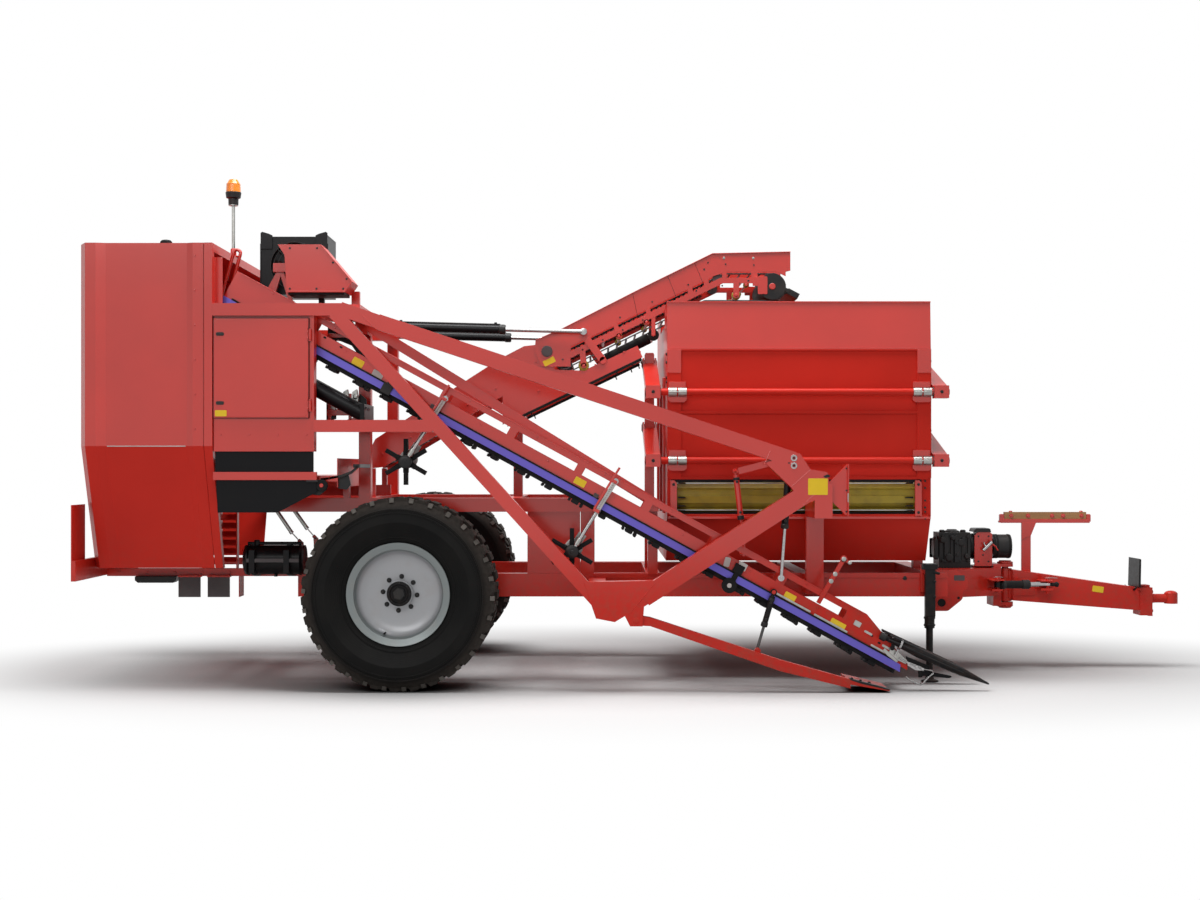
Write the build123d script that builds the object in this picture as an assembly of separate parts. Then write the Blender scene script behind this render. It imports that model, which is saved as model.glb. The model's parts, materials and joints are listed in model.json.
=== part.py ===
"""Trailed one-row top-lifting root harvester with a bunker.

Millimetres. X points forward, Y to the left, Z up. The origin is on the ground, at the middle
of the machine's length and width.
"""
import os
from math import cos, degrees, hypot, pi, radians, sin

from build123d import *

# ---- clearances ----
RUN = 0.05            # radial clearance of a pin in its bore
SEAT = 0.3            # gap of a piece that rests beside another
SIDE = 6              # side gap between pieces that move past each other
SHEET = 5             # sheet-metal wall

# ---- wheels and axle ----
TYRE_R = 666
TYRE_W = 600
TRACK = 2400
RIM_R = 345
HUB_R = 92
AXLE_X = -1803
AXLE_SIZE = 130
HALF_WIDTH = TRACK / 2 + TYRE_W / 2
WHEEL_INNER = TRACK / 2 - TYRE_W / 2
NEAR = -HALF_WIDTH
LUG_COUNT = 30
LUG_H = 22
LUG_TURN = 4.5       # degrees that one lug covers
LUG_SPLIT = 10

# ---- chassis ----
BEAM_X = (-2600, 2091)
BEAM_Y = (WHEEL_INNER - 220, WHEEL_INNER - 100)
BEAM_Z = (605, 770)
HEAD_X = 2640
HITCH_PIN_X = 2695
HITCH_PIN_R = 25
LUG_T = 25
ROOT_Z = (512, 763)
UPPER_Y = (WHEEL_INNER - 130, WHEEL_INNER - 40)
UPPER_Z = (1218, 1317)
UPPER_Y_NEAR = (-UPPER_Y[1], -UPPER_Y[0])
PORTAL_X = (-2153, -2067)
REAR_POST_X = (-3115, -3060)
HOOD_TOP = 3068
TOP_Z = (HOOD_TOP - 497, HOOD_TOP - 412)

# ---- side truss ----
TRUSS_Y = (NEAR, NEAR + 90)
PLATE_T = 20
SHARE_PIVOT = (-174, 495)
SHARE_PIN_R = 15

# ---- lifting unit: distances run up from the nose (s) and square to it (n) ----
NOSE = (1693, 121)
LIFT_ANGLE = 28.6
UNIT_Y = (NEAR + 170, NEAR + 430)
UNIT_PLATE = 8
PLATE_LOW = 18
PLATE_MID = 123
PLATE_HIGH = 180
PLATE_TOP = 225
BELT_START = 60
BELT_LENGTH = 5220
UNIT_LENGTH = BELT_LENGTH + 160
PIVOT_S = UNIT_LENGTH - 380
PIVOT_N = 110
PIVOT_R = 25
BELT_R = 50
BELT_T = 12
BELT_H = 30
BELT_TOP = 20
BELT_Y = (NEAR + 246, NEAR + 354)
BELT_SIDE = -1        # the slanting frame's own Y points to the machine's right
STAR_R = 160
STAR_HUB_R = 48
STAR_Y = NEAR + 200

# ---- elevator ----
ELEV_HALF = 350
ELEV_PLATE = 8
FOLD_PIVOT = (-817, 2406)
FOLD_PIN_R = 30
WEB_R = 62
WEB_PITCH = 75
ROD_R = 6
WEB_BELT = 40         # width of the web's edge belts
WEB_T = 8
DRUM = (872, 2891)
DRUM_R = 95
CLIMB = 0.49          # slope of the folding head
RAIL_START = (-800, 2303)
RAIL_LEVEL = 2936
RAIL_H = 45

# ---- bunker ----
HOPPER_X = (61, 1949)
HOPPER_Y = (-900, 1150)
HOPPER_Z = (859, 2728)
FLARE_Z = 2383
FLARE_LEAN = 22       # the rim's walls lean in by this much at the top
RIM_LIP = 10
NOTCH_Y = ELEV_HALF + 60
NOTCH_Z = 2590
WINDOW_Z = (1191, 1461)
SLAT = (52, 9)        # width and height of a floor slat
SLAT_PITCH = 97
ARM_W = 104
ARM_PLATE = 12
ARM_GAP = 4
ARM_PIN_R = 25
ARM_X = (-94, HOPPER_X[1] + 8)          # rear and front arms, low side
HOLD_X = [(x + ARM_PLATE + ARM_GAP, x + ARM_W - ARM_PLATE - ARM_GAP) for x in ARM_X]
RIB = 14
SILL = 12
CORNER = 100
POST_Y = (-95, -5)
ARM_FIXED_Y = -50
ARM_HUNG_Y = -950
ARM_DROP = 255
ARM_HUNG_Z = {"upper": 2075, "lower": 1586}

# ---- rear hood and cabinet ----
HOOD_X = (-3990, -3120)
HOOD_BEND = 1683
HOOD_LOW = 832
HOOD_TUCK = 340
HOOD_FAR = 900
HOOD_NEAR = NEAR + 6
HOOD_RECESS = 18
CASE_R = 105
CASE_X = (-2960, -2535)
CARRIER_Y = (700, 760)
CARRIER_Z = (750, 805)
CAB_X = (-3056, -2371)
CAB_Y = (NEAR + 28, NEAR + 130)
CAB_Z = (1646, 2570)
DOOR_X = (-3052, -2406)
DOOR_Z = (1876, 2553)
DOOR_T = 16
DOOR_HINGE = (-2395.5, NEAR + 12)

# ---- top gear ----
COOLER_X = (-2841, -2364)
COOLER_Y = (UNIT_Y[1] + 130, UNIT_Y[1] + 510)
FAN_R = 165

# ---- drawbar ----
COUPLING_NOSE = 4021
DRAWBAR_END = COUPLING_NOSE - 313
END_PLATE = 93
STUB_R = 17.46
INPUT_Z = 931

# ---- cylinders: eyes of barrel and rod, (x, z) ----
LIFT_EYES = ((880, 1547), (826, 776))
DEPTH_EYES = ((775, 680), (660, 281))
FOLD_EYES = ((-1994, TOP_Z[0] + 16), (-543, 2550))
STRUT_EYES = ((526, 1512), (588, 960))
CYL_Y = NEAR + 128
STRUT_Y = NEAR + 300
FOLD_Y = 400

# ---- jack ----
JACK_X, JACK_Y = 1944, -(BEAM_Y[1] + 75)
JACK_TUBE_R = 36
JACK_LEG_R = 25
JACK_GAP = 0.3


# ---------------------------------------------------------------- shapes
def block(x, y, z):
    """Box between three (low, high) pairs."""
    centre = [(a + b) / 2 for a, b in (x, y, z)]
    return Pos(*centre) * Box(x[1] - x[0], y[1] - y[0], z[1] - z[0])


def plate(points, y):
    """Outline of (x, z) points, as thick as the (low, high) pair y."""
    outline = Face(Wire.make_polygon([(px, y[0], pz) for px, pz in points], close=True))
    return extrude(outline, amount=y[1] - y[0], dir=(0, 1, 0))


def section(points, x):
    """Outline of (y, z) points, drawn out between the (low, high) pair x."""
    outline = Face(Wire.make_polygon([(x[0], py, pz) for py, pz in points], close=True))
    return extrude(outline, amount=x[1] - x[0], dir=(1, 0, 0))


def plan(points, z):
    """Outline of (x, y) points, between the (low, high) pair z."""
    outline = Face(Wire.make_polygon([(px, py, z[0]) for px, py in points], close=True))
    return extrude(outline, amount=z[1] - z[0], dir=(0, 0, 1))


def bar(p, q, depth, y):
    """Straight member between two (x, z) points on its centre line."""
    run = hypot(q[0] - p[0], q[1] - p[1])
    ax, az = (q[0] - p[0]) / run, (q[1] - p[1]) / run
    nx, nz = -az * depth / 2, ax * depth / 2
    corners = [(p[0] + nx, p[1] + nz), (q[0] + nx, q[1] + nz),
               (q[0] - nx, q[1] - nz), (p[0] - nx, p[1] - nz)]
    return plate(corners, y)


def rod(p, q, r):
    """Round bar between two (x, y, z) points."""
    start, end = Vector(*p), Vector(*q)
    return Solid.make_cylinder(r, (end - start).length, Plane(origin=start, z_dir=end - start))


def cross(x, z, r, y):
    """Round bar along Y."""
    return rod((x, y[0], z), (x, y[1], z), r)


def fuse(*pieces):
    """One shape from pieces that touch."""
    return Part() + list(pieces)


def mirrored(piece):
    """The same piece on the other side of the centre plane."""
    return piece.mirror(Plane.XZ)


def unit(s, n=0):
    """(x, z) of a place on the lifting unit."""
    a = radians(LIFT_ANGLE)
    return (NOSE[0] - s * cos(a) + n * sin(a), NOSE[1] + s * sin(a) + n * cos(a))


# ---------------------------------------------------------------- wheels
def tyre(side):
    """Tyre with its tread blocks, open at the rim."""
    h = TYRE_W / 2
    floor = TYRE_R - LUG_H
    wall = [(RIM_R, h * 0.72), (RIM_R + 150, h), (TYRE_R - 90, h * 0.98), (floor - 4, h * 0.8)]
    ring = Face(Wire.make_polygon([(0, y, r) for r, y in wall] + [(0, -y, r) for r, y in wall[::-1]]))
    carcass = revolve(ring, Axis((0, 0, 0), (0, 1, 0)), 360)
    pitch = 360 / LUG_COUNT
    corners = [(0, TYRE_R), (LUG_TURN, TYRE_R), (LUG_TURN + 1, floor), (pitch - 1, floor)]  # degrees, radius
    rings = []
    for half, start in ((-1, 0), (1, pitch / 2)):
        tips = [(radians(start + i * pitch + turn), r) for i in range(LUG_COUNT) for turn, r in corners]
        teeth = Face(Wire.make_polygon([(r * sin(t), 0, r * cos(t)) for t, r in tips]))
        teeth = extrude(teeth, amount=h * 0.8 - LUG_SPLIT, dir=(0, 1, 0))
        teeth -= Solid.make_cylinder(floor - 30, h, Plane(origin=(0, -1, 0), z_dir=(0, 1, 0)))
        rings.append(Pos(0, LUG_SPLIT if half > 0 else -h * 0.8, 0) * teeth)
    whole = fuse(carcass, *rings)
    return Pos(AXLE_X, side * TRACK / 2, TYRE_R) * whole


def rim(side):
    """Dished rim with its hub and nuts."""
    h = TYRE_W / 2 * 0.72
    outer = Solid.make_cylinder(RIM_R - SEAT, 2 * h, Plane(origin=(0, -h, 0), z_dir=(0, 1, 0)))
    bore = Solid.make_cylinder(RIM_R - 14, 2 * h, Plane(origin=(0, -h, 0), z_dir=(0, 1, 0)))
    barrel = outer - bore
    disc_y = 60
    disc = Solid.make_cylinder(RIM_R - 10, 16, Plane(origin=(0, disc_y, 0), z_dir=(0, 1, 0)))
    hub = Solid.make_cylinder(HUB_R, 110, Plane(origin=(0, disc_y - 8, 0), z_dir=(0, 1, 0)))
    nut = Plane(origin=(HUB_R + 26, disc_y + 10, 0), z_dir=(0, 1, 0)) * RegularPolygon(16, 6)
    nuts = [Rot(0, i * 45, 0) * extrude(nut, amount=30, dir=(0, 1, 0)) for i in range(8)]
    spigot = Solid.make_cylinder(46 + RUN, 200, Plane(origin=(0, disc_y - 100, 0), z_dir=(0, 1, 0)))
    whole = fuse(barrel, disc, hub, *nuts) - spigot
    whole = whole if side > 0 else mirrored(whole)
    return Pos(AXLE_X, side * TRACK / 2, TYRE_R) * whole


def axle():
    """Square axle with its stub ends and the pads under the main beams."""
    seat = WHEEL_INNER - 40
    stub = TRACK / 2 + 100
    beam = block((AXLE_X - AXLE_SIZE / 2, AXLE_X + AXLE_SIZE / 2), (-seat, seat),
                 (TYRE_R - AXLE_SIZE / 2 - 126, BEAM_Z[0]))
    ends = []
    for side in (-1, 1):
        drop = block((AXLE_X - AXLE_SIZE / 2, AXLE_X + AXLE_SIZE / 2), (seat - 55, seat + 5), (475, 740))
        pin = rod((AXLE_X, seat, TYRE_R), (AXLE_X, stub, TYRE_R), 46)
        ends += [piece if side > 0 else mirrored(piece) for piece in (drop, pin)]
    return fuse(beam, *ends)


# ---------------------------------------------------------------- chassis
def main_frame():
    """Ladder frame, tapered head and the lugs of the drawbar pin."""
    beams = [block(BEAM_X, BEAM_Y, BEAM_Z)]
    beams.append(mirrored(beams[0]))
    front = BEAM_X[1]
    cross_x = [(x, x + 100) for x in (-2600, -2153, -900, HOLD_X[0][0] - 8, 1010)]
    cross_x.append((HOLD_X[1][0] - 8, front))
    ties = [block(x, (-BEAM_Y[0], BEAM_Y[0]), BEAM_Z) for x in cross_x]
    head = plan([(front, -380), (HEAD_X, -110), (HEAD_X, 110), (front, 380)], (560, BEAM_Z[1]))
    web = block((HEAD_X - 60, HEAD_X), (-110, 110), (480, 800))
    lugs = []
    for low in (480, 775):
        tongue = block((HEAD_X, HITCH_PIN_X), (-60, 60), (low, low + LUG_T))
        lugs.append(fuse(tongue, rod((HITCH_PIN_X, 0, low), (HITCH_PIN_X, 0, low + LUG_T), 60)))
    pin = rod((HITCH_PIN_X, 0, 468), (HITCH_PIN_X, 0, 818), HITCH_PIN_R)
    ear = block((2530, 2610), (-290, -110), (605, 620))
    steer_pin = rod((2580, -250, 620), (2580, -250, 690), 12)
    pad_y = JACK_Y + JACK_TUBE_R + 1
    jack_pad = block((JACK_X - 54, JACK_X + 60), (pad_y, -BEAM_Y[1]), (640, 840))
    jack_hold = block((JACK_X - 40, JACK_X + 40), (JACK_Y - 20, pad_y), (776, 840))
    jack_hole = rod((JACK_X, JACK_Y, 700), (JACK_X, JACK_Y, 900), JACK_TUBE_R + SEAT)
    return fuse(*beams, *ties, head, web, *lugs, pin, ear, steer_pin, jack_pad, jack_hold - jack_hole)


def upper_frame():
    """Upper side frames with the portal, rear gate and ties between them."""
    gate_x = (REAR_POST_X[1], PORTAL_X[0])
    side = [block((PORTAL_X[0], -464), UPPER_Y, UPPER_Z), block(gate_x, UPPER_Y, UPPER_Z),
            block(PORTAL_X, UPPER_Y, (UPPER_Z[1], TOP_Z[0]))]
    side += [block(x, (UPPER_Y[0], BEAM_Y[1]), (BEAM_Z[1], UPPER_Z[0])) for x in (PORTAL_X, (-560, -464))]
    shelf = block((-2140, -2100), (322, 342), (UPPER_Z[1], 1530))
    far = fuse(*side)
    near = fuse(mirrored(far), block(PORTAL_X, (UNIT_Y[1] + 30, UPPER_Y_NEAR[0]), (TOP_Z[0] - 91, TOP_Z[0])))
    portal = fuse(block(PORTAL_X, (TRUSS_Y[1], UPPER_Y[1]), TOP_Z), block(gate_x, UPPER_Y, TOP_Z),
                  block(gate_x, (UNIT_Y[1] + 20, UNIT_Y[1] + 110), TOP_Z))
    low_post = [(NEAR, HOOD_BEND), (NEAR + 60, HOOD_BEND), (NEAR + 60 + HOOD_TUCK, HOOD_LOW),
                (NEAR + HOOD_TUCK, HOOD_LOW)]
    gate = fuse(block(REAR_POST_X, (NEAR, NEAR + 60), (HOOD_BEND, HOOD_TOP)),
                section(low_post, REAR_POST_X),
                block(REAR_POST_X, (HOOD_FAR - 60, HOOD_FAR), (UPPER_Z[0], HOOD_TOP)),
                block(REAR_POST_X, (NEAR + 60, HOOD_FAR - 60), (HOOD_TOP - 58, HOOD_TOP)),
                block(REAR_POST_X, (NEAR + 60, HOOD_FAR - 60), TOP_Z),
                block(REAR_POST_X, (UPPER_Y_NEAR[0], HOOD_FAR - 60), UPPER_Z))
    ties = fuse(*[block(x, (-UPPER_Y[0], UPPER_Y[0]), UPPER_Z) for x in ((-1098, -999), PORTAL_X)],
                block((-1083, -1014), (-45, 45), (UPPER_Z[0], 1900)), shelf, mirrored(shelf))
    shelf_rail = block((REAR_POST_X[1], PORTAL_X[1]), (300, 320), (UPPER_Z[1], 1400))
    inner_y = (UNIT_Y[1] + 30, UPPER_Y_NEAR[0])
    stay = fuse(bar((-2067, 2540), (-5, 1268), 70, (inner_y[0], inner_y[0] + 70)),
                block((-75, -5), (inner_y[0], UPPER_Y_NEAR[1]), (1225, 1303)),
                block((-75, -5), (UPPER_Y_NEAR[0] + 10, -BEAM_Y[0]), (BEAM_Z[1], 1225)))
    return Compound(children=[near, far, portal, gate, ties, shelf_rail, stay - near])


def hopper_posts():
    """Two posts with the fixed pins of the bunker's arms."""
    pieces = []
    reach = ARM_GAP + ARM_PLATE + 8
    for x in HOLD_X:
        post = block(x, POST_Y, (BEAM_Z[1], 2400))
        pins = [rod((x[0] - reach, ARM_FIXED_Y, z + ARM_DROP), (x[1] + reach, ARM_FIXED_Y, z + ARM_DROP),
                    ARM_PIN_R) for z in ARM_HUNG_Z.values()]
        pieces.append(fuse(post, *pins))
    return Compound(children=pieces)


def side_truss():
    """Outboard frame that guards and carries the lifting unit's side."""
    y = TRUSS_Y
    plate_y = (y[0] + 35, y[0] + 35 + PLATE_T)
    members = [                      # start, end, depth
        ((-3060, 2613), (-2161, 2613), 85),
        ((-2190, 2618), (-1905, 2520), 95),
        ((-1935, 2530), (900, 1590), 105),
        ((-2230, 2593), (-447, 632), 90),
        ((-2371, 1820), (-1560, 1820), 82),
        ((-120, 650), (985, 1360), 125),
    ]
    pieces = [bar(p, q, depth, y) for p, q, depth in members]
    pieces.append(plate([(-530, 757), (-32, 766), (-215, 546), (-320, 484), (-444, 508)], y))
    pieces.append(plate([(707, 1567), (880, 1634), (940, 1634), (1014, 1523), (1130, 1504),
                         (1144, 1403), (1096, 1335), (959, 1281), (880, 1403)], y))
    pieces.append(plate([(1120, 1410), (1269, 1561), (1269, 1202), (1096, 1370)], plate_y))
    pieces.append(block((1269, 1275), (NEAR, STRUT_Y - 30), (1202, 1561)))
    pieces.append(block((1041, 1163), (y[0], -960), (1190, 1300)))
    pieces.append(block((1041, 1163), (y[0], y[1]), (1290, 1420)))
    pieces.append(block((1041, 1163), (-1040, -960), (640, 1200)))
    pieces.append(block((1041, 1163), (-1040, -BEAM_Y[1]), (640, 735)))
    pieces.append(block((-500, -380), (y[1], -BEAM_Y[1]), (640, 740)))
    ear = [(-290, 600), (-120, 590), (-130, 455), (-215, 455)]
    pieces += [plate(ear, (y[0], y[0] + 12)), plate(ear, (y[1] - 12, y[1]))]
    pieces.append(cross(*SHARE_PIVOT, SHARE_PIN_R, y))
    pieces.append(cross(*unit(PIVOT_S, PIVOT_N), PIVOT_R, (y[1], UNIT_Y[1] + 20)))
    pieces.append(cross(*LIFT_EYES[0], 15, (y[1], CYL_Y + 22)))
    pieces.append(bar(STRUT_EYES[0], (770, 1575), 44, (y[0] + 50, y[1])))
    pieces.append(cross(*STRUT_EYES[0], 10, (y[1], STRUT_Y + 22)))
    return fuse(*pieces)


# ---------------------------------------------------------------- rear
def rear_hood():
    """Folded sheet hood, open below and in front, with a recessed panel and a cut rear corner."""
    rear, front = HOOD_X
    near, far, t = HOOD_NEAR, HOOD_FAR, SHEET
    fold = [(front, 0), (front - 74, 0), (front - 117, HOOD_RECESS), (rear + 199, HOOD_RECESS),
            (rear + 135, 0), (rear + 63, 0), (rear, 120)]          # x, distance in from the near face
    back = [(rear + t, 120), (rear + 66, t), (rear + 133, t), (rear + 198, HOOD_RECESS + t),
            (front - 116, HOOD_RECESS + t), (front - 73, t), (front, t)]
    wall = Face(Wire.make_polygon([(x, near + y, HOOD_BEND) for x, y in fold + back]))
    drop = HOOD_BEND - HOOD_LOW
    slope = hypot(HOOD_TUCK, drop)
    upper = extrude(wall, amount=HOOD_TOP - HOOD_BEND, dir=(0, 0, 1))
    lower = extrude(wall, amount=slope, dir=(0, HOOD_TUCK / slope, -drop / slope))
    roof = plan([(x, near + y) for x, y in fold] + [(rear, far), (front, far)], (HOOD_TOP - t, HOOD_TOP))
    rear_y = near + 120
    tail = section([(rear_y, HOOD_TOP), (rear_y, HOOD_BEND), (rear_y + HOOD_TUCK, HOOD_LOW),
                    (far - HOOD_TUCK, HOOD_LOW), (far, HOOD_BEND), (far, HOOD_TOP)], (rear, rear + t))
    side = section([(far, HOOD_TOP), (far, HOOD_BEND), (far - HOOD_TUCK, HOOD_LOW),
                    (far - HOOD_TUCK - t, HOOD_LOW), (far - t, HOOD_BEND), (far - t, HOOD_TOP)], HOOD_X)
    return fuse(upper, lower, roof, tail, side)


def rear_carrier():
    """Low beams under the hood, the louvre on them and the board for the rear lamps."""
    beams = [block((HOOD_X[0], BEAM_X[0]), CARRIER_Y, CARRIER_Z)]
    beams.append(mirrored(beams[0]))
    near = (-CARRIER_Y[1], -CARRIER_Y[0])
    louvre = [block((x, x + 8), near, (CARRIER_Z[1], 1212)) for x in (-3175, -3055)]
    for i in range(6):
        z = CARRIER_Z[1] + 40 + i * 62
        louvre.append(section([(near[0], z), (near[1], z + 34), (near[1], z + 42), (near[0], z + 8)],
                              (-3171, -3051)))
    rear = HOOD_X[0] - 31
    board = block((rear, HOOD_X[0]), (NEAR, -NEAR), (760, 900))
    wing = block((rear, rear + 6), (NEAR, NEAR + 300), (900, 1281))
    far = mirrored(wing)
    hangers = [block((-3222, -3216), (-790, -640), (601, 750)),
               block((-3030, -3024), (-790, -640), (601, 750))]
    return fuse(*beams, *louvre, board, wing, far, *hangers)


def cabinet():
    """Shallow case over the topping drive, open behind its door."""
    body = block(CAB_X, CAB_Y, CAB_Z)
    inner = block((CAB_X[0] + SHEET, CAB_X[1] - SHEET), (CAB_Y[0] + SHEET, CAB_Y[1] - SHEET),
                  (CAB_Z[0] + SHEET, CAB_Z[1] - SHEET))
    mouth = block((DOOR_X[0] + 20, DOOR_X[1] - 20), (CAB_Y[0] - 1, CAB_Y[0] + SHEET + 1),
                  (DOOR_Z[0] + 20, DOOR_Z[1] - 20))
    hinges = []
    for z in (1960, 2440):
        hinges.append(rod((*DOOR_HINGE, z - 42), (*DOOR_HINGE, z + 42), 5))
        for end in (z - 42, z + 34):
            hinges.append(block((DOOR_HINGE[0] - 8, DOOR_HINGE[0] + 8),
                                (DOOR_HINGE[1] - 8, CAB_Y[0]), (end, end + 8)))
    return fuse(body - inner - mouth, *hinges)


def cabinet_door():
    """Sheet door with its knuckles."""
    back = CAB_Y[0] - 2
    panel = block(DOOR_X, (back - DOOR_T, back), DOOR_Z)
    inner = block((DOOR_X[0] + 4, DOOR_X[1] - 14), (back - DOOR_T + 4, back + 1),
                  (DOOR_Z[0] + 4, DOOR_Z[1] - 4))
    pieces = [panel - inner]
    for z in (1960, 2440):
        pieces.append(rod((*DOOR_HINGE, z - 32), (*DOOR_HINGE, z + 32), 9))
        pieces.append(block((DOOR_X[1] - 14, DOOR_HINGE[0]), (back - DOOR_T + 4, back - DOOR_T + 12),
                            (z - 32, z + 32)))
    whole = fuse(*pieces)
    for z in (1960, 2440):
        whole -= rod((*DOOR_HINGE, z - 45), (*DOOR_HINGE, z + 45), 5 + RUN)
        for end in (z - 46, z + 32):
            whole -= block((DOOR_HINGE[0] - 14, DOOR_HINGE[0] + 14),
                           (DOOR_HINGE[1] - 14, CAB_Y[0]), (end, end + 14))
    return whole


def side_curtains():
    """Rubber flaps below the cabinet."""
    y = (CAB_Y[0] + 10, CAB_Y[0] + 18)
    upper = block((-3047, -2376), y, (1506, CAB_Z[0]))
    lower = plate([(-3040, 1451), (-2361, 1451), (-2354, 1369), (-2621, 1229), (-3031, 1229)], y)
    return Compound(children=[upper, lower])


def curtain_rail():
    """Rail that holds the flaps."""
    return block((-3060, -2354), (CAB_Y[0], CAB_Y[0] + 32), (1451, 1506))


def topper():
    """Pair of topping rollers below the lifting unit's upper end."""
    pieces = []
    low, high = unit(4150, -230), unit(5050, -230)
    for y in (UNIT_Y[0] + 65, UNIT_Y[1] - 65):
        pieces.append(rod((low[0], y, low[1]), (high[0], y, high[1]), 55))
    for p, inner in ((low, UPPER_Y_NEAR[0]), (high, UNIT_Y[1] + 65)):
        pieces.append(block((p[0] - 15, p[0] + 15), (UNIT_Y[0] - 10, inner), (p[1] - 70, p[1] + 70)))
    pieces.append(block((high[0] - 15, high[0] + 15), (UNIT_Y[1] + 25, UNIT_Y[1] + 65), (high[1], TOP_Z[0])))
    return fuse(*pieces)


def cross_conveyor():
    """Trough and belt that carry the crop inward to the elevator's foot."""
    y = (NEAR + 100, 350)
    walls = [block((x, x + SHEET), y, (1400, 1600)) for x in (-3000, -2225)]
    floor = block((-2995, -2225), y, (1440, 1480))
    feet = [block((x, x + 40), UPPER_Y_NEAR, (UPPER_Z[1], 1400)) for x in (-3000, -2265)]
    return fuse(*walls, floor, *feet, block((-3000, -2220), UPPER_Y_NEAR, (1400, 1440)),
                block((-3000, -2220), (300, 340), (1400, 1440)))


# ---------------------------------------------------------------- lifting unit
def lifter_frame():
    """Two slotted side plates with their ties and lugs."""
    end = UNIT_LENGTH
    outline = [unit(*p) for p in ((0, PLATE_LOW), (20, 60), (430, PLATE_TOP), (end, PLATE_TOP),
                                  (end, PLATE_LOW))]
    slots = []
    for i in range(9):
        start = 560 + i * 530
        slots.append([unit(start, PLATE_MID), unit(start + 470, PLATE_MID),
                      unit(start + 470, PLATE_HIGH), unit(start, PLATE_HIGH)])
    pieces = []
    for y in ((UNIT_Y[0], UNIT_Y[0] + UNIT_PLATE), (UNIT_Y[1] - UNIT_PLATE, UNIT_Y[1])):
        side = plate(outline, y)
        for slot in slots[:8]:
            side -= plate(slot, (y[0] - 1, y[1] + 1))
        side = fuse(side, cross(*unit(PIVOT_S, PIVOT_N), 60, y))
        pieces.append(side)
    for i in range(6):
        x, z = unit(300 + i * 930, PLATE_MID - 40)
        pieces.append(cross(x, z, 14, (UNIT_Y[0] + 4, UNIT_Y[1] - 4)))
    pieces.append(cross(*DEPTH_EYES[0], 14, (CYL_Y - 20, UNIT_Y[0])))
    lift_x, lift_z = LIFT_EYES[1]
    pieces.append(cross(lift_x, lift_z, 20, (CYL_Y + 15, UNIT_Y[0])))
    pieces.append(cross(*unit(1372, 176), 10, (UNIT_Y[0] + 4, UNIT_Y[1] - 4)))
    for s in (BELT_START + BELT_R, BELT_START + BELT_LENGTH - BELT_R):
        bearer = Box(60, UNIT_Y[1] - UNIT_Y[0] - 8, 8)
        pieces.append(unit_place(s, PLATE_LOW + 6) * Pos(0, BELT_SIDE * sum(UNIT_Y) / 2, 0) * bearer)
        for y in BELT_Y:
            pulley = Cylinder(BELT_R - BELT_T - SEAT, BELT_H)
            shaft = Cylinder(15, PLATE_LOW + 6 + BELT_TOP)
            pieces.append(unit_place(s, -BELT_TOP - BELT_H / 2) * Pos(0, BELT_SIDE * y, 0) * pulley)
            pieces.append(unit_place(s, (PLATE_LOW + 6 - BELT_TOP) / 2) * Pos(0, BELT_SIDE * y, 0) * shaft)
    whole = fuse(*pieces)
    return whole - cross(*unit(PIVOT_S, PIVOT_N), PIVOT_R + RUN, (UNIT_Y[0] - 1, UNIT_Y[1] + 1))


def unit_place(s, n):
    """Location of a point on the lifting unit, with X up the slope and Z square to it."""
    a = radians(LIFT_ANGLE)
    x, z = unit(s, n)
    return Plane(origin=(x, 0, z), x_dir=(-cos(a), 0, sin(a)), z_dir=(sin(a), 0, cos(a))).location


def lifter_belts():
    """Two gripping belts, each a flat loop round its end pulleys."""
    loops = []
    for y in BELT_Y:
        outer = SlotOverall(BELT_LENGTH, 2 * BELT_R)
        inner = SlotOverall(BELT_LENGTH - 2 * BELT_T, 2 * (BELT_R - BELT_T))
        ring = extrude(outer - inner, amount=-BELT_H)
        loops.append(unit_place(BELT_START + BELT_LENGTH / 2, -BELT_TOP) * Pos(0, BELT_SIDE * y, 0) * ring)
    return Compound(children=[s for loop in loops for s in loop.solids()])


def lifter_guards():
    """Coloured strips over the outer runs of the belts."""
    strips = []
    for y in ((UNIT_Y[0] - 6, UNIT_Y[0]), (UNIT_Y[1], UNIT_Y[1] + 6)):
        corners = [unit(40, -18), unit(UNIT_LENGTH, -18), unit(UNIT_LENGTH, 30), unit(60, 30)]
        strips.append(plate(corners, y))
    return Compound(children=strips)


STARS = {"upper": (-1763, 1576), "lower": (-614, 956)}          # name: hub (x, z)
HANGERS = {"upper": (-1486, 2010), "lower": (-312, 1442)}       # name: top (x, z)


def star_rotor(name):
    """Six-fingered rubber rotor."""
    x, z = STARS[name]
    hub = cross(x, z, STAR_HUB_R, (STAR_Y - 30, STAR_Y + 30))
    fingers = []
    for i in range(6):
        finger = bar((0, STAR_HUB_R - 10), (0, STAR_R), 30, (-20, 20))
        fingers.append(Pos(x, STAR_Y, z) * Rot(0, i * 60, 0) * finger)
    return fuse(hub, *fingers) - cross(x, z, 12 + RUN, (STAR_Y - 60, STAR_Y + 60))


def star_hangers():
    """Bright rods with the stub shafts that the rotors turn on."""
    pieces = []
    y = UNIT_Y[0] - 22
    for name, (x, z) in STARS.items():
        tx, tz = HANGERS[name]
        arm = rod((x, y, z), (tx, y, tz), 14)
        shaft = cross(x, z, 12, (y, STAR_Y + 36))
        clamp = cross(tx, tz, 20, (y - 14, UNIT_Y[0]))
        pieces.append(fuse(arm, shaft, clamp, cross(x, z, 24, (y - 14, y + 14))))
    return Compound(children=pieces)


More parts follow.
